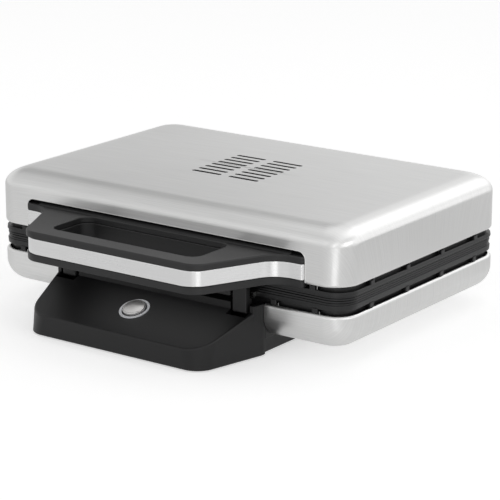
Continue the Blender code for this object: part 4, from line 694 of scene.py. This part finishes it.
def blocks(name, low, high, front, size, back, wide=0.0, along=0.0, arc=30):
    """Upright blocks (deep, long, radius) at the lugs: four at each end, some in front, five at the rear.

    Each is set back from the body's face, less wide at the two ends, and moved along it.
    """
    places = [(side * WIDTH / 2, (index - 1.5) * 0.0444, side, 0) for side in (-1, 1) for index in range(4)]
    places += [(side * x, FRONT, 0, -1) for side in (-1, 1) for x in front]
    places += [((index - 2) * 0.0560, REAR, 0, 1) for index in range(5)]
    deep, long, radius = size
    items = []
    for x, y, dx, dy in places:
        width, depth = (deep, long) if dx else (long, deep)
        x, y = x - dx * (back - wide) + abs(dy) * along, y - dy * back + abs(dx) * along
        items.append(skin("block", slab(rectangle(width, depth, radius, x, y), low, high, arc=arc)))
    return together(name, items)


def knuckle(middle, half, root_low, root_high):
    """A hinge knuckle: a round end on the pin, straight flanks to its root, and a bore for the pin."""
    root, centre = REAR - 0.0032, np.array([HINGE_Y, HINGE_Z])
    low, high = np.array([root, root_low]), np.array([root, root_high])
    angles = []
    for point, side in ((low, 1), (high, -1)):
        away = point - centre
        lean = math.acos(KNUCKLE / np.linalg.norm(away))
        turn = math.atan2(away[1], away[0]) % (2 * math.pi) + side * lean
        angles.append(turn - (2 * math.pi if side > 0 else 0))
    rows = []
    soft = KNUCKLE_SOFT
    edge = [(half, soft), (half - 0.3 * soft, 0.3 * soft), (half - soft, 0)]
    for x, inset in [(-x, inset) for x, inset in edge] + edge[::-1]:
        around = arc_points(centre, (KNUCKLE - inset, KNUCKLE - inset), *angles, 40)
        rows.append(lifted([low + [0, inset], *around, high - [0, inset]], middle + x))
    place = across(middle, HINGE_Y, HINGE_Z)
    return carve(skin("knuckle", on_edge(np.stack(rows))), drill(BORE, -0.010, 0.010, place, 40))


print("points of the lid frame's section:", len(frame_section(LID_FACE, 1, 0.0027, 0.0056)))

# %% [markdown]
# Each frame is one moulding with everything that touches its neighbour: lugs that carry the shell's rim, a
# block at the front where the clip pulls, and knuckles at the rear for the hinge pins. They could be one cut
# surface, but a closed ring with closed blocks set into it stays simple, and the joins are hidden inside.

# %% Both frames with their lugs, catch blocks and hinge knuckles
CATCH_HALF, CATCH_FRONT = 0.0655, FRONT + BAND_INSET - 0.0103
LID_WIDE, BASE_WIDE = 0.0011, 0.0006
LUG, LUG_BACK = (0.0058, 0.0046, 0.0006), 0.0042
LID_FRONT_LUGS, BASE_FRONT_LUGS = (0.1240,), (0.0932, 0.1260)
catch = both_sides([(CATCH_HALF, CATCH_FRONT, 0.0025), (CATCH_HALF, FRONT + 0.0030, 0)])

wall = rectangle(0.2506, 0.0025, 0, 0, NECK + 0.00125)
parts = [frame_ring(LID_FACE, 1, 0.0027, 0.0056, LID_WIDE),
         skin("wall", slab(wall, LID_BAND_HIGH - 0.001, NOTCH_TOP + 0.0024)),
         skin("catch", slab(catch, LID_FACE + 0.0002, LID_BAND_HIGH - 0.0002, 0.0004, 0.0004))]
parts += [knuckle(side * HINGE_X, 0.0075, LID_FACE + 0.0012, LID_FACE + 0.0050) for side in (-1, 1)]
finish(together("lid_frame_smooth", parts), "lid", FRAME)
lugs = blocks("lid_lugs", LID_BAND_HIGH - 0.0002, LID_RIM - 0.0003, LID_FRONT_LUGS, LUG, LUG_BACK, LID_WIDE)
finish(lugs, "lid", FRAME)

parts = [frame_ring(BASE_FACE, -1, 0.0037, 0.0067, BASE_WIDE),
         skin("catch", slab(catch, BASE_BAND_LOW + 0.0002, BASE_FACE - 0.0002, 0.0004, 0.0004))]
parts += [knuckle(side * HINGE_X + beside, 0.0035, BASE_FACE - 0.0050, BASE_FACE - 0.0012)
          for side in (-1, 1) for beside in (-0.0113, 0.0113)]
finish(together("base_frame_smooth", parts), "base", FRAME)
lugs = blocks("base_lugs", BASE_RIM + 0.0003, BASE_BAND_LOW + 0.0002, BASE_FRONT_LUGS, LUG, LUG_BACK,
              BASE_WIDE)
finish(lugs, "base", FRAME)

# %% [markdown]
# Between the lugs, thin tabs of the steel shells are bent in and hold them on the frames. Only their bright
# ends show in the gap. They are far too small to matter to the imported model, so they live only here.

# %% Bright tabs beside the lugs
TAB, TAB_BACK, TAB_ALONG = (0.0008, 0.0004, 0.0001), 0.0024, 0.0036
for name, body, low, high, front in (
        ("lid_tabs", "lid", LID_BAND_HIGH + 0.0006, LID_RIM + 0.0006, LID_FRONT_LUGS),
        ("base_tabs", "base", BASE_RIM - 0.0006, BASE_BAND_LOW - 0.0016, BASE_FRONT_LUGS)):
    finish(blocks(name, low, high, front, TAB, TAB_BACK, along=TAB_ALONG, arc=45), body, PIN)

# %% [markdown]
# The hinges. A headed steel pin goes through two ears of the base and one arm of the lid. Seen from behind,
# the arm sits between the ears like three knuckles of a door hinge. The cord's bush is soft rubber.

# %% Hinge pins and cord gland
SIDES = {"left": -1, "right": 1}
PIN_END, PIN_RADIUS, HEAD_RADIUS, HEAD_DOME, TIP = 0.0151, 0.0020, 0.0034, 0.0011, 0.0002
dome = arc_points((0, PIN_END), (HEAD_RADIUS, HEAD_DOME), 0, RIGHT_ANGLE, 6)[:-1]
half = [(PIN_RADIUS, PIN_END), *dome, (TIP, PIN_END + HEAD_DOME)]
rows = [(radius, -height) for radius, height in half[::-1]] + half
for name, side in SIDES.items():
    pin = skin(f"hinge_pin_{name}_smooth", turned(rows, across(side * HINGE_X, HINGE_Y, HINGE_Z), 40))
    finish(pin, "base", PIN)

rows = [(0.0033, 0.0040), (0.0045, 0.0040), (0.0045, 0.0018),
        *arc_points((0.0059, 0.0010), (0.0005, 0.0005), RIGHT_ANGLE, 0, 4),
        (0.0064, 0.0003), (0.0045, 0.0003), (0.0045, -0.0037), (0.0033, -0.0037)]
finish(skin("cord_gland_smooth", turned(rows, gland_place, 48), wrap=True), "base", RUBBER)

# %% [markdown]
# The handle is a sandwich of its own: a black cover, a strip of brushed steel and a black cover again. A bent
# strip needs wide arcs at its front corners, and moulded covers can turn tighter, so the covers stand over it
# a little at the corners and along the flared sides. All three run out to the same root in the lid's notch.

# %% Handle outline
HANDLE_FRONT, RUN, ROOT = FRONT - 0.0573, FRONT - 0.0022, NECK - 0.0003
HALF_FRONT, HALF_ROOT, FLARE = 0.0713, 0.1189, math.radians(25.6)
HANDLE_LOW, SHOULDER = 0.0533, 0.0583
STRIP_LOW, STRIP_HIGH = 0.0586, 0.0695
CAP_LOW, CAP_HIGH = 0.0698, 0.0744
WINDOW_FRONT, WINDOW_REAR = HANDLE_FRONT + 0.0145, FRONT - 0.0030
SHAFT_Y, SHAFT_Z, SHAFT_HALF, SHAFT_RADIUS = (WINDOW_REAR + ROOT) / 2, HANDLE_LOW + 0.0043, 0.0817, 0.0020


def handle_corners(over=0.0, radius=0.017):
    """The handle's outline, or that of a cover standing over its sides, with its own radius in front."""
    flare = HALF_FRONT + (RUN - HANDLE_FRONT) * math.tan(FLARE)
    return both_sides([(HALF_FRONT + over, HANDLE_FRONT, radius), (flare + over, RUN, 0.0190),
                       (HALF_ROOT, RUN + 0.0004, 0.0025), (HALF_ROOT, ROOT, 0)])


def window_tool(low, high, soft):
    """A plug for the window. Its two ends spread by soft - sqrt(soft^2 - h^2), so it leaves rounded edges."""
    middle, depth = (WINDOW_REAR + WINDOW_FRONT) / 2, WINDOW_REAR - WINDOW_FRONT
    rows = [(-soft, low - 0.001)]
    for t in (0, 0.15, 0.4, 0.7, 1):
        rows.append((soft * math.sqrt(1 - (1 - t) ** 2) - soft, low + soft * t))
    rows += [(inset, low + high - height) for inset, height in reversed(rows)]
    return skin("plug", layers(rectangle(0.1250, depth, 0.0085, 0, middle), rows))


shaft_place = across(0, SHAFT_Y, SHAFT_Z)
print("handle, root and front:", round(2000 * HALF_ROOT, 1), round(2000 * HALF_FRONT, 1), "mm")

# %% [markdown]
# The two covers are moulded, with soft outer edges and a window for the fingers. The window is cut with a
# plug that widens at both ends, which leaves rounded lips like those of a mould. The lower cover carries the
# core between the two, with the slots that the clip's legs hang in and the bore of their shaft. A low ridge
# stiffens the root of the upper cover.

# %% Handle covers
LEG_SLOT, SLOT_X, SLOT_Y, SLOT_TOP = (0.0141, 0.0163, 0.0006), 0.07355, NECK - 0.00705, 0.0617
RIDGE_HALF, RIDGE_HIGH = 0.1080, CAP_HIGH + 0.0016

cap = skin("cap", slab(handle_corners(0.0014, 0.0140), CAP_LOW, CAP_HIGH, 0.0003, 0.0012))
carve(cap, window_tool(CAP_LOW, CAP_HIGH, 0.0009))
rise = [(WINDOW_REAR + 0.0008, CAP_HIGH - 0.0004, 0), (ROOT, CAP_HIGH - 0.0004, 0),
        (ROOT, RIDGE_HIGH, 0.0003), (ROOT - 0.0030, RIDGE_HIGH, 0.0020)]
ridge = skin("ridge", on_edge(slab(rise, -RIDGE_HALF, RIDGE_HALF, 0.0003, 0.0003)))
finish(together("handle_top_cover_smooth", [cap, ridge]), "lid", HANDLE)

lower = slab(handle_corners(0.0005, 0.0150), HANDLE_LOW, SHOULDER, 0.0009, 0.0003)
core = layers(handle_corners(), [(0.0013, SHOULDER), (0.0013, CAP_LOW - 0.00005)])
cover = skin("handle_bottom_cover_smooth", np.concatenate([lower, core]))
slots = [skin("slot", slab(rectangle(*LEG_SLOT, side * SLOT_X, SLOT_Y), HANDLE_LOW - 0.003, SLOT_TOP))
         for side in (-1, 1)]
tunnel = drill(BORE, -SHAFT_HALF - 0.0003, SHAFT_HALF + 0.0003, shaft_place, 32)
carve(cover, window_tool(HANDLE_LOW, CAP_LOW, 0.0007), together("slots", slots), tunnel)
finish(cover, "lid", HANDLE)

# %% [markdown]
# The strip is one band of brushed steel bent round the front of the handle, with its scratches along the
# band. It could be cut from a block, but carrying a small section along the outline gives the bends and the
# flat map for the scratches in one step: the map's first number is the distance along the band.

# %% Handle strip
STRIP_SOFT, STRIP_THICK = 0.0005, 0.0010
soft = [(STRIP_SOFT * a, STRIP_SOFT * (1 - b)) for a, b in quarter(3)]
section = [(a, STRIP_LOW + b) for a, b in soft[::-1]] + [(a, STRIP_HIGH - b) for a, b in soft]
section += [(STRIP_THICK - 0.0001, STRIP_HIGH), (STRIP_THICK, STRIP_HIGH - 0.00015),
            (STRIP_THICK, STRIP_LOW + 0.00015), (STRIP_THICK - 0.0001, STRIP_LOW)]
grid = layers(handle_corners(), section).transpose(1, 0, 2)
grid = np.roll(grid, len(grid) // 2, 0)
run = np.concatenate([[0], np.cumsum(np.linalg.norm(np.diff(grid[:, 0], axis=0), axis=1))])
sheet = np.stack([np.broadcast_to(run[:, None], grid.shape[:2]), grid[..., 2]], -1)
finish(skin("handle_band_smooth", grid, sheet=sheet), "lid", BAND)

# %% [markdown]
# The locking clip is two hooked legs on one steel shaft. The legs hang from the root of the handle, and their
# toes swing under two steel keepers on the base. Each leg is drawn from the side and given a soft edge.

# %% Locking clip
LEG_INNER, LEG_WIDTH, LEG_FRONT, LEG_LOW, LEG_THICK = 0.0680, 0.0111, CATCH_FRONT - 0.0010, 0.0305, 0.0046
BOSS, TOE_RISE, TOE_THICK, TOE_TIP = 0.0032, 0.0057, 0.0036, FRONT + BAND_INSET - 0.0045
leg_back, toe_low, toe_high = LEG_FRONT + LEG_THICK, LEG_LOW + TOE_RISE, LEG_LOW + TOE_RISE + TOE_THICK
leg_side = [(LEG_FRONT, LEG_LOW, 0.0012), (leg_back, LEG_LOW, 0.0012), (leg_back, toe_low, 0.0006),
            (TOE_TIP, toe_low, 0.0006), (TOE_TIP, toe_high, 0.0006), (leg_back, toe_high, 0.0006),
            (leg_back, SHAFT_Z - BOSS, 0.0012), (SHAFT_Y + BOSS, SHAFT_Z - BOSS, 0.0029),
            (SHAFT_Y + BOSS, SHAFT_Z + BOSS, 0.0029), (LEG_FRONT, SHAFT_Z + BOSS, 0.0012)]
for name, side in SIDES.items():
    low, high = sorted((side * LEG_INNER, side * (LEG_INNER + LEG_WIDTH)))
    leg = skin(f"latch_leg_{name}_smooth", on_edge(slab(leg_side, low, high, 0.0005, 0.0005, arc=10)))
    finish(leg, "latch", HANDLE)

end = [(SHAFT_RADIUS, SHAFT_HALF - 0.0004), (SHAFT_RADIUS - 0.0004, SHAFT_HALF)]
rows = [(radius, -height) for radius, height in end[::-1]] + end
finish(skin("latch_shaft_smooth", turned(rows, shaft_place, 32)), "latch", PIN)

# %% [markdown]
# The front foot is one moulding: a low front wall, a sloping top with a soft edge, sides that widen towards
# the body, and a flat tail under it. Its top is a plane, so the outline's points are simply lifted to the
# plane's height over each place, and the soft edge is the same outline drawn in while it rises.

# %% Foot outline
FOOT_FRONT, FOOT_HEIGHT, SLOPE, FOOT_SOFT = FRONT - 0.0548, 0.0150, math.radians(20.05), 0.0014
FOOT_LOW, FOOT_SIDE, FOOT_BACK, FOOT_TAIL = 0.0008, FRONT - 0.0012, FRONT + 0.0035, FRONT + 0.0612
FOOT_HALF, FOOT_REAR_HALF, TAIL_HALF = 0.0737, 0.0863, 0.0836
foot_corners = both_sides([(FOOT_HALF, FOOT_FRONT, 0.015), (FOOT_REAR_HALF, FOOT_SIDE, 0),
                           (FOOT_REAR_HALF, FOOT_BACK - 0.0015, 0), (TAIL_HALF, FOOT_BACK, 0)])
foot_top = [(x, y, radius + 0.005 if radius else 0) for x, y, radius in foot_corners]
tail_corners = both_sides([(TAIL_HALF, FRONT, 0), (TAIL_HALF, FOOT_TAIL, 0.006)])


def slope_height(y, drop=0.0):
    """The height of the sloping top over a place, less a drop."""
    return FOOT_HEIGHT + (y - FOOT_FRONT) * math.tan(SLOPE) - drop


def foot_rows():
    """Rows of the foot: straight up from the floor, then a quarter circle onto the sloping plane."""
    rows = list(layers(foot_corners, [(0.0005, FOOT_LOW), (0, FOOT_LOW + 0.0005)]))
    edge = [(FOOT_SOFT * a, FOOT_SOFT * (1 - b)) for a, b in quarter(6)]
    for inset, drop in [*edge, (FOOT_SOFT + 0.0008, 0)]:
        points = outline(foot_top, inset)
        rows.append(lifted(points, slope_height(points[:, 1], drop)))
    return np.stack(rows)


print("height of the slope at the body:", round(1000 * slope_height(FOOT_BACK), 1), "mm")

# %% [markdown]
# The housing joins those rows with the details that were seen in the photo or follow from the mechanism: two
# wells for the clip's toes, a bore for the button, a step between the wells, posts beside them, and a rebate
# below for the floor plate. Under the slope lies a hollow room for the button's plunger, the lamp's board and
# the switch. Wells, bore, rebate and room are cut from the closed body, as the mould's cores would do.

# %% Foot housing
BUTTON_Y = FOOT_FRONT + 0.0260
WELL_IN, WELL_OUT, WELL_FRONT, WELL_BACK = 0.0658, 0.0815, LEG_FRONT - 0.0045, FOOT_BACK + 0.003
WELL_FLOOR, WELL_SILL, WELL_TOP, STEP_TOP = 0.0180, 0.0335, 0.050, 0.0366
REBATE = [(0.0024, -0.002), (0.0024, 0.0039)]
ROOM_END, ROOM_WALL, ROOM_FLOOR, ROOF = WELL_FRONT - 0.0022, 0.0046, 0.0030, 0.0026
button_place = Matrix.Translation((0, BUTTON_Y, slope_height(BUTTON_Y))) @ Matrix.Rotation(SLOPE, 4, "X")

well = [(WELL_FRONT, WELL_FLOOR, 0.0004), (FOOT_BACK - 0.0024, WELL_FLOOR, 0.0004),
        (FOOT_BACK - 0.0024, WELL_SILL, 0.0004), (WELL_BACK, WELL_SILL, 0), (WELL_BACK, WELL_TOP, 0),
        (WELL_FRONT, WELL_TOP, 0)]
wells = [skin("well", on_edge(slab(well, *sorted((side * WELL_IN, side * WELL_OUT)), arc=30)))
         for side in (-1, 1)]
widening = (FOOT_REAR_HALF - FOOT_HALF) / (FOOT_SIDE - FOOT_FRONT)
room_half = FOOT_HALF + (ROOM_END - FOOT_FRONT) * widening - ROOM_WALL
front_corner = (FOOT_HALF - ROOM_WALL, FOOT_FRONT + ROOM_WALL, 0.0104)
points = outline(both_sides([front_corner, (room_half, ROOM_END, 0)]))
room = skin("room", np.stack([lifted(points, ROOM_FLOOR), lifted(points, slope_height(points[:, 1], ROOF))]))
bore = drill(0.0110, -0.012, 0.004, button_place, 72)
housing = skin("housing", foot_rows())
carve(housing, together("wells", wells), bore, skin("rebate", layers(foot_corners, REBATE)), room)
tail = skin("tail", slab(tail_corners, FOOT_LOW, 0.0124, 0.0004, 0.0004))
carve(tail, skin("rebate", layers(tail_corners, REBATE)))
step = both_sides([(WELL_IN, CATCH_FRONT, 0.0005), (WELL_IN, FOOT_BACK, 0)])
parts = [housing, tail, skin("step", slab(step, 0.0200, STEP_TOP, 0, 0.0004))]

post = [(0.0816, CATCH_FRONT, 0), (0.08458, CATCH_FRONT, 0.0005), (0.08633, FOOT_SIDE, 0),
        (0.08633, FOOT_BACK - 0.0015, 0), (0.0835, FOOT_BACK - 0.0002, 0), (0.0816, FOOT_BACK - 0.0002, 0)]
other = [(-x, y, radius) for x, y, radius in reversed(post)]
parts += [skin("post", slab(corners, 0.0260, STEP_TOP, 0, 0.0006)) for corners in (other, post)]
for side in (-1, 1):
    cheek = rectangle(0.0060, 0.0150, 0.0010, side * (FOOT_REAR_HALF - 0.0030), FOOT_BACK + 0.0060)
    parts.append(skin("cheek", slab(cheek, 0.0118, 0.0240, 0.0003, 0.0010)))
finish(together("pedestal_housing_smooth", parts), "base", SHADED_FOOT)

# %% [markdown]
# The push button is turned metal: a slightly domed cap with a bright rounded rim, standing in a frosted ring
# that lights up. Both are profiles turned about the button's own axis, which leans with the sloping top.

# %% Button and ring
CAP_RADIUS, RIM, DOME_HIGH, DOME_FALL, AROUND = 0.0074, 0.0007, 0.0026, 0.00035, 96
dome = [(CAP_RADIUS * s, DOME_HIGH - DOME_FALL * s ** 2) for s in np.linspace(0.02, 1, 12)]
rim = arc_points((CAP_RADIUS, 0.00158), (RIM, RIM), RIGHT_ANGLE - 0.2, 0, 7)
rows = [(0.0001, -0.0005), (0.0080, -0.0005), (0.0081, -0.0003), *rim[::-1], *dome[::-1]]
grid = turned(rows, button_place, AROUND)
sheet = np.stack(np.broadcast_arrays(np.linspace(0, 0.5, AROUND, endpoint=False), np.array(rows)[:, :1]), -1)
finish(skin("button_cap_smooth", grid, sheet=sheet), "button", BUTTON)

rows = [(0.0088, 0.0000), (0.0091, 0.0004), (0.0103, 0.0006),
        *arc_points((0.0103, 0.0001), (0.0005, 0.0005), RIGHT_ANGLE - 0.3, 0, 5),
        (0.0108, -0.0027), (0.0125, -0.0027), (0.0125, -0.0042), (0.0088, -0.0042)]
finish(skin("light_ring_smooth", turned(rows, button_place, AROUND), wrap=True), "base", LENS)

# %% [markdown]
# Under the rear corners stand two tapered feet, and rubber pads carry the whole weight on the table.

# %% Feet and pads
PADS = {"front_left": (-0.0607, -0.1430), "front_right": (0.0607, -0.1430),
        "rear_left": (-0.0900, 0.0750), "rear_right": (0.0900, 0.0750)}
pad_rows = [(TIP, 0), *arc_points((0.0049, 0.0006), (0.0006, -0.0006), RIGHT_ANGLE, 0, 6),
            (0.0055, 0.0022), (TIP, 0.0022)]
foot_profile = [(TIP, 0.0025), (0.0058, 0.0025), (0.0058, 0.0008), (0.0082, 0.0008), (0.0086, 0.0012),
                (0.0100, 0.0124), (0.0040, 0.0124), (0.0040, 0.0154), (TIP, 0.0154)]
for name, (x, y) in PADS.items():
    place = Matrix.Translation((x, y, 0))
    finish(skin(f"foot_pad_{name}_smooth", turned(pad_rows, place, 48)), "base", RUBBER)
    if name.startswith("rear"):
        finish(skin(f"rear_foot_{name[5:]}_smooth", turned(foot_profile, place, 64)), "base", FRAME)

# %% [markdown]
# The two cooking plates are castings with a non-stick coating. Each has two beds, and a raised web across
# each bed parts it into two triangles, so that a toast comes out cut and sealed. A casting can't leave its
# mould with upright walls or sharp edges, so the walls lean, the mouths are rounded and the floors meet the
# walls in a curve. The plate is drawn by depth below its face, so that one drawing serves both plates.

# %% Cooking plates
PLATE_INSET, PLATE_LIP, PLATE_DEEP, PLATE_SOFT = 0.0173, 0.0143, 0.0135, 0.0008
BED_IN, BED_OUT, BED_END = 0.0045, WIDTH / 2 - PLATE_INSET - 0.0075, 0.0700
POCKET, DRAFT, MOUTH, HOLLOW, WEB = 0.0100, 0.45, 0.0015, 0.0028, 0.0070
LEAN = math.atan2(1, DRAFT)


def pocket_corners(side, half):
    """Three corners of one pocket; each web side lies half a web's width from the bed's diagonal."""
    left, right = (BED_IN, BED_OUT) if side > 0 else (-BED_OUT, -BED_IN)
    gap = WEB / 2 * math.hypot(right - left, 2 * BED_END)
    x, y = gap / (2 * BED_END), gap / (right - left)
    if half == 0:
        corners = [(left + x, -BED_END), (right, -BED_END), (right, BED_END - y)]
    else:
        corners = [(left, y - BED_END), (right - x, BED_END), (left, BED_END)]
    if side > 0:
        corners = [(left + right - a, b) for a, b in reversed(corners)]
    return [(a, b, 0.0090) for a, b in corners]


def pocket_rows():
    """(inset, depth) down a pocket: an arc, the wall, drawn in by 0.45 * depth, and an arc onto the floor."""
    start = DRAFT * MOUTH * (1 - math.cos(LEAN)) - MOUTH * math.sin(LEAN)
    end = DRAFT * (POCKET - HOLLOW * (1 - math.cos(LEAN))) + HOLLOW * math.sin(LEAN)
    mouth = arc_points((start, MOUTH), (MOUTH, -MOUTH), RIGHT_ANGLE, RIGHT_ANGLE - LEAN, 6)
    floor_arc = arc_points((end, POCKET - HOLLOW), (-HOLLOW, HOLLOW), RIGHT_ANGLE - LEAN, RIGHT_ANGLE, 6)
    return [(start, -0.0010), *mouth, *floor_arc]


def cooking_plate(name, face, away):
    """A plate with its lip, pockets and low ribs, drawn by depth and set at z = face + away * depth."""
    def placed(label, grid):
        """A grid drawn by depth, set at its height."""
        return skin(label, grid * [1, 1, away] + [0, 0, face])

    edge = [(PLATE_INSET + PLATE_SOFT * a, PLATE_SOFT * (1 - b)) for a, b in quarter()[::-1]]
    edge += [(PLATE_INSET, 0.0023), (PLATE_LIP, 0.0023), (PLATE_LIP, 0.0043), (PLATE_INSET, 0.0043),
             (PLATE_INSET, PLATE_DEEP)]
    parts = [placed("plate", np.stack([lifted(body_outline(inset, 0.0040), depth) for inset, depth in edge]))]
    places = [pocket_corners(side, half) for side in (-1, 1) for half in (0, 1)]
    pockets = [placed("pocket", layers(corners, pocket_rows(), 6.0)) for corners in places]
    carve(parts[0], together("pockets", pockets))
    for index, corners in enumerate(places):
        x, y, _ = np.mean(corners, axis=0)
        for count in range(3):
            shift = (count - 1) * 0.0160 * (1 if index % 2 == 0 else -1)
            rib = rectangle((0.34 - 0.06 * count) * 2 * BED_END, 0.0032, 0.00155, x, y + shift)
            parts.append(placed("rib", slab(rib, POCKET - 0.0014, POCKET + 0.0004, 0.0012, 0, 12)))
    return together(name, parts)


finish(cooking_plate("lower_plate_smooth", BASE_FACE, -1), "base", COATING)
finish(cooking_plate("upper_plate_smooth", LID_FACE, 1), "lid", COATING)

# %% [markdown]
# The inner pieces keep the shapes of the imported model, which are right as they are. Each still gets a real
# finish, because the lid opens.

# %% Finishes of the inner pieces
clamps = [f"{row}_heater_clamp_{side}" for row in ("lower", "upper") for side in SIDES]
INNER = (
    (SHADED_FOOT, ["pedestal_bottom_plate"]), (LAMINATE, ["indicator_board"]), (HANDLE, ["button_plunger"]),
    (PIN, ["keeper_left", "keeper_right"]), (SHEATH, ["lower_heater", "upper_heater"]),
    (ALUMINIUM, [*clamps, "lower_reflector", "upper_reflector"]),
    (CERAMIC, ["power_switch", "terminal_block", "lower_thermostat", "lower_thermal_fuse",
               "upper_thermal_fuse"]))
for material, names in INNER:
    for name in names:
        frame["nodes"][name].data.materials.clear()
        frame["nodes"][name].data.materials.append(material)
print("inner pieces finished:", sum(len(names) for _, names in INNER))

# %% [markdown]
# The studio: a pale floor, a soft overhead light, a soft light from each side, and a pale surround. Brushed
# steel shows what stands round it, so the lamps are large and even. The background is white only to the
# camera, which adds no light to the object, and the floor keeps the object's soft shadow.
# The floor glows a little in mirrored rays, most near the object, and brightly in one round pool beside the
# handle: a painted pool of light that the steel shows as painted highlights.

# %% Floor
FLOOR_HALF, BODY_HALF, LIGHT_POOL = 4, (0.150, 0.110, 0), (0.232, -0.270, 0)


def shown_share(tree):
    """The light path of a tree, and a share that is 1 for what the camera sees straight or through glass."""
    path = add_node(tree, "ShaderNodeLightPath", {}).outputs
    return path, math_node(tree, "MAXIMUM", path["Is Camera Ray"], path["Is Transmission Ray"])


floor_mesh = bpy.data.meshes.new("floor")
corners = rectangle(2 * FLOOR_HALF, 2 * FLOOR_HALF, 0)
floor_mesh.from_pydata(corners, [], [(0, 1, 2, 3)])
floor = new_object("floor", floor_mesh)
floor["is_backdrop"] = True
ground, tree, shader = new_material("pale floor")
place = object_vector(tree)
feed(tree, shader, {"Base Color": blend_colour(tree, noise_node(tree, place, 3.0), (0.78,) * 3, (0.80,) * 3),
                    "Roughness": 0.9, "Specular IOR Level": 0.1})
# Painted light for mirrored rays: a glow that fades away from the object, and a bright pool of light at one
# spot, which the steel shows as highlights.
beyond = vector_node(tree, "SUBTRACT", vector_node(tree, "ABSOLUTE", place)["Vector"], BODY_HALF)["Vector"]
away = vector_node(tree, "LENGTH", vector_node(tree, "MAXIMUM", beyond)["Vector"])["Value"]
apart = vector_node(tree, "DISTANCE", place, LIGHT_POOL)["Value"]
around = math_node(tree, "ADD", spread(tree, away, 0.44, 0.27, 0.0, 0.20, "SMOOTHSTEP"),
                   spread(tree, apart, 2.2, 0.0, 0.040, 0.060, "SMOOTHSTEP"))
path, shown = shown_share(tree)
mirrored = math_node(tree, "MULTIPLY", path["Is Glossy Ray"], around)
strength = math_node(tree, "ADD", math_node(tree, "MULTIPLY", shown, 0.52), mirrored)
glow = add_node(tree, "ShaderNodeEmission", {"Strength": strength}).outputs[0]
both = add_node(tree, "ShaderNodeAddShader", {0: shader.outputs[0], 1: glow}).outputs[0]
tree.links.new(both, tree.nodes["Material Output"].inputs["Surface"])
floor_mesh.materials.append(ground)
print("floor:", 2 * FLOOR_HALF, "m wide")

# %% [markdown]
# The surround is plain pale white. A few soft patches make it darker or brighter where the steel mirrors it,
# as screens and cards do in a studio. They are seen by mirrored rays only, so they add no light elsewhere.
# The lamps are wide and weak, because a small strong lamp would draw hard spots on brushed metal.

# %% World and lamps
PATCHES = (((-0.40, 0.88, 0.26), 24, 8, 0.19), ((-0.62, 0.55, 0.56), 20, 9, -0.60),
           ((0.15, 0.78, 0.60), 24, 8, 1.05), ((-0.45, -0.25, 0.85), 50, 15, -0.22),
           ((0.66, 0.72, 0.22), 30, 8, 0.45))
LAMPS = (("overhead", (0.0, 0.3, 1.5), (0, 0, 0.05), 1.8, 1.2, 2.5),
         ("front left", (-0.5, -1.6, 0.9), (0, 0, 0.05), 1.2, 0.6, 0.8),
         ("strip", (0.86, -1.58, 0.60), (0, -0.10, 0.06), 0.34, 1.1, 1.5),
         ("right side", (1.5, -0.3, 0.7), (0, 0, 0.06), 0.9, 0.7, 2.6))

world = bpy.data.worlds.new("studio")
bpy.context.scene.world = world
world.use_nodes = True
tree = world.node_tree
path, shown = shown_share(tree)


def screen(direction, wide, narrow):
    """A soft round patch of the surround: 1 within the narrow angle of a direction, 0 beyond the wide one."""
    ray = add_node(tree, "ShaderNodeTexCoord", {}).outputs["Generated"]
    facing = vector_node(tree, "DOT_PRODUCT", ray, Vector(direction).normalized())["Value"]
    start, end = math.cos(math.radians(wide)), math.cos(math.radians(narrow))
    return spread(tree, facing, 0.0, 1.0, start, end, "SMOOTHSTEP")


mirrored = 1.01
for direction, wide, narrow, strength in PATCHES:
    patch = math_node(tree, "MULTIPLY", screen(direction, wide, narrow), strength)
    mirrored = math_node(tree, "ADD", mirrored, patch)
inputs = {"Factor": path["Is Glossy Ray"], "A": spread(tree, shown, 0.50, 1.0), "B": mirrored}
mixed = add_node(tree, "ShaderNodeMix", inputs).outputs["Result"]
feed(tree, tree.nodes["Background"], {"Color": (1, 1, 1, 1), "Strength": mixed})

for name, place, aim, width, height, power in LAMPS:
    data = bpy.data.lights.new(name, "AREA")
    data.shape, data.size, data.size_y, data.energy = "RECTANGLE", width, height, power
    item = new_object(name, data)
    item.location = place
    item.rotation_euler = (Vector(aim) - Vector(place)).to_track_quat("-Z", "Y").to_euler()
print("patches:", len(PATCHES), "lamps:", [name for name, *_ in LAMPS])

# %% [markdown]
# The box round every shown piece is printed at the end. The finished model must stay inside the
# imported one.

# %% Sizes and the last line
low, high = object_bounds()
print("visual box:", [round(v * 1000, 2) for v in (*low, *high)])
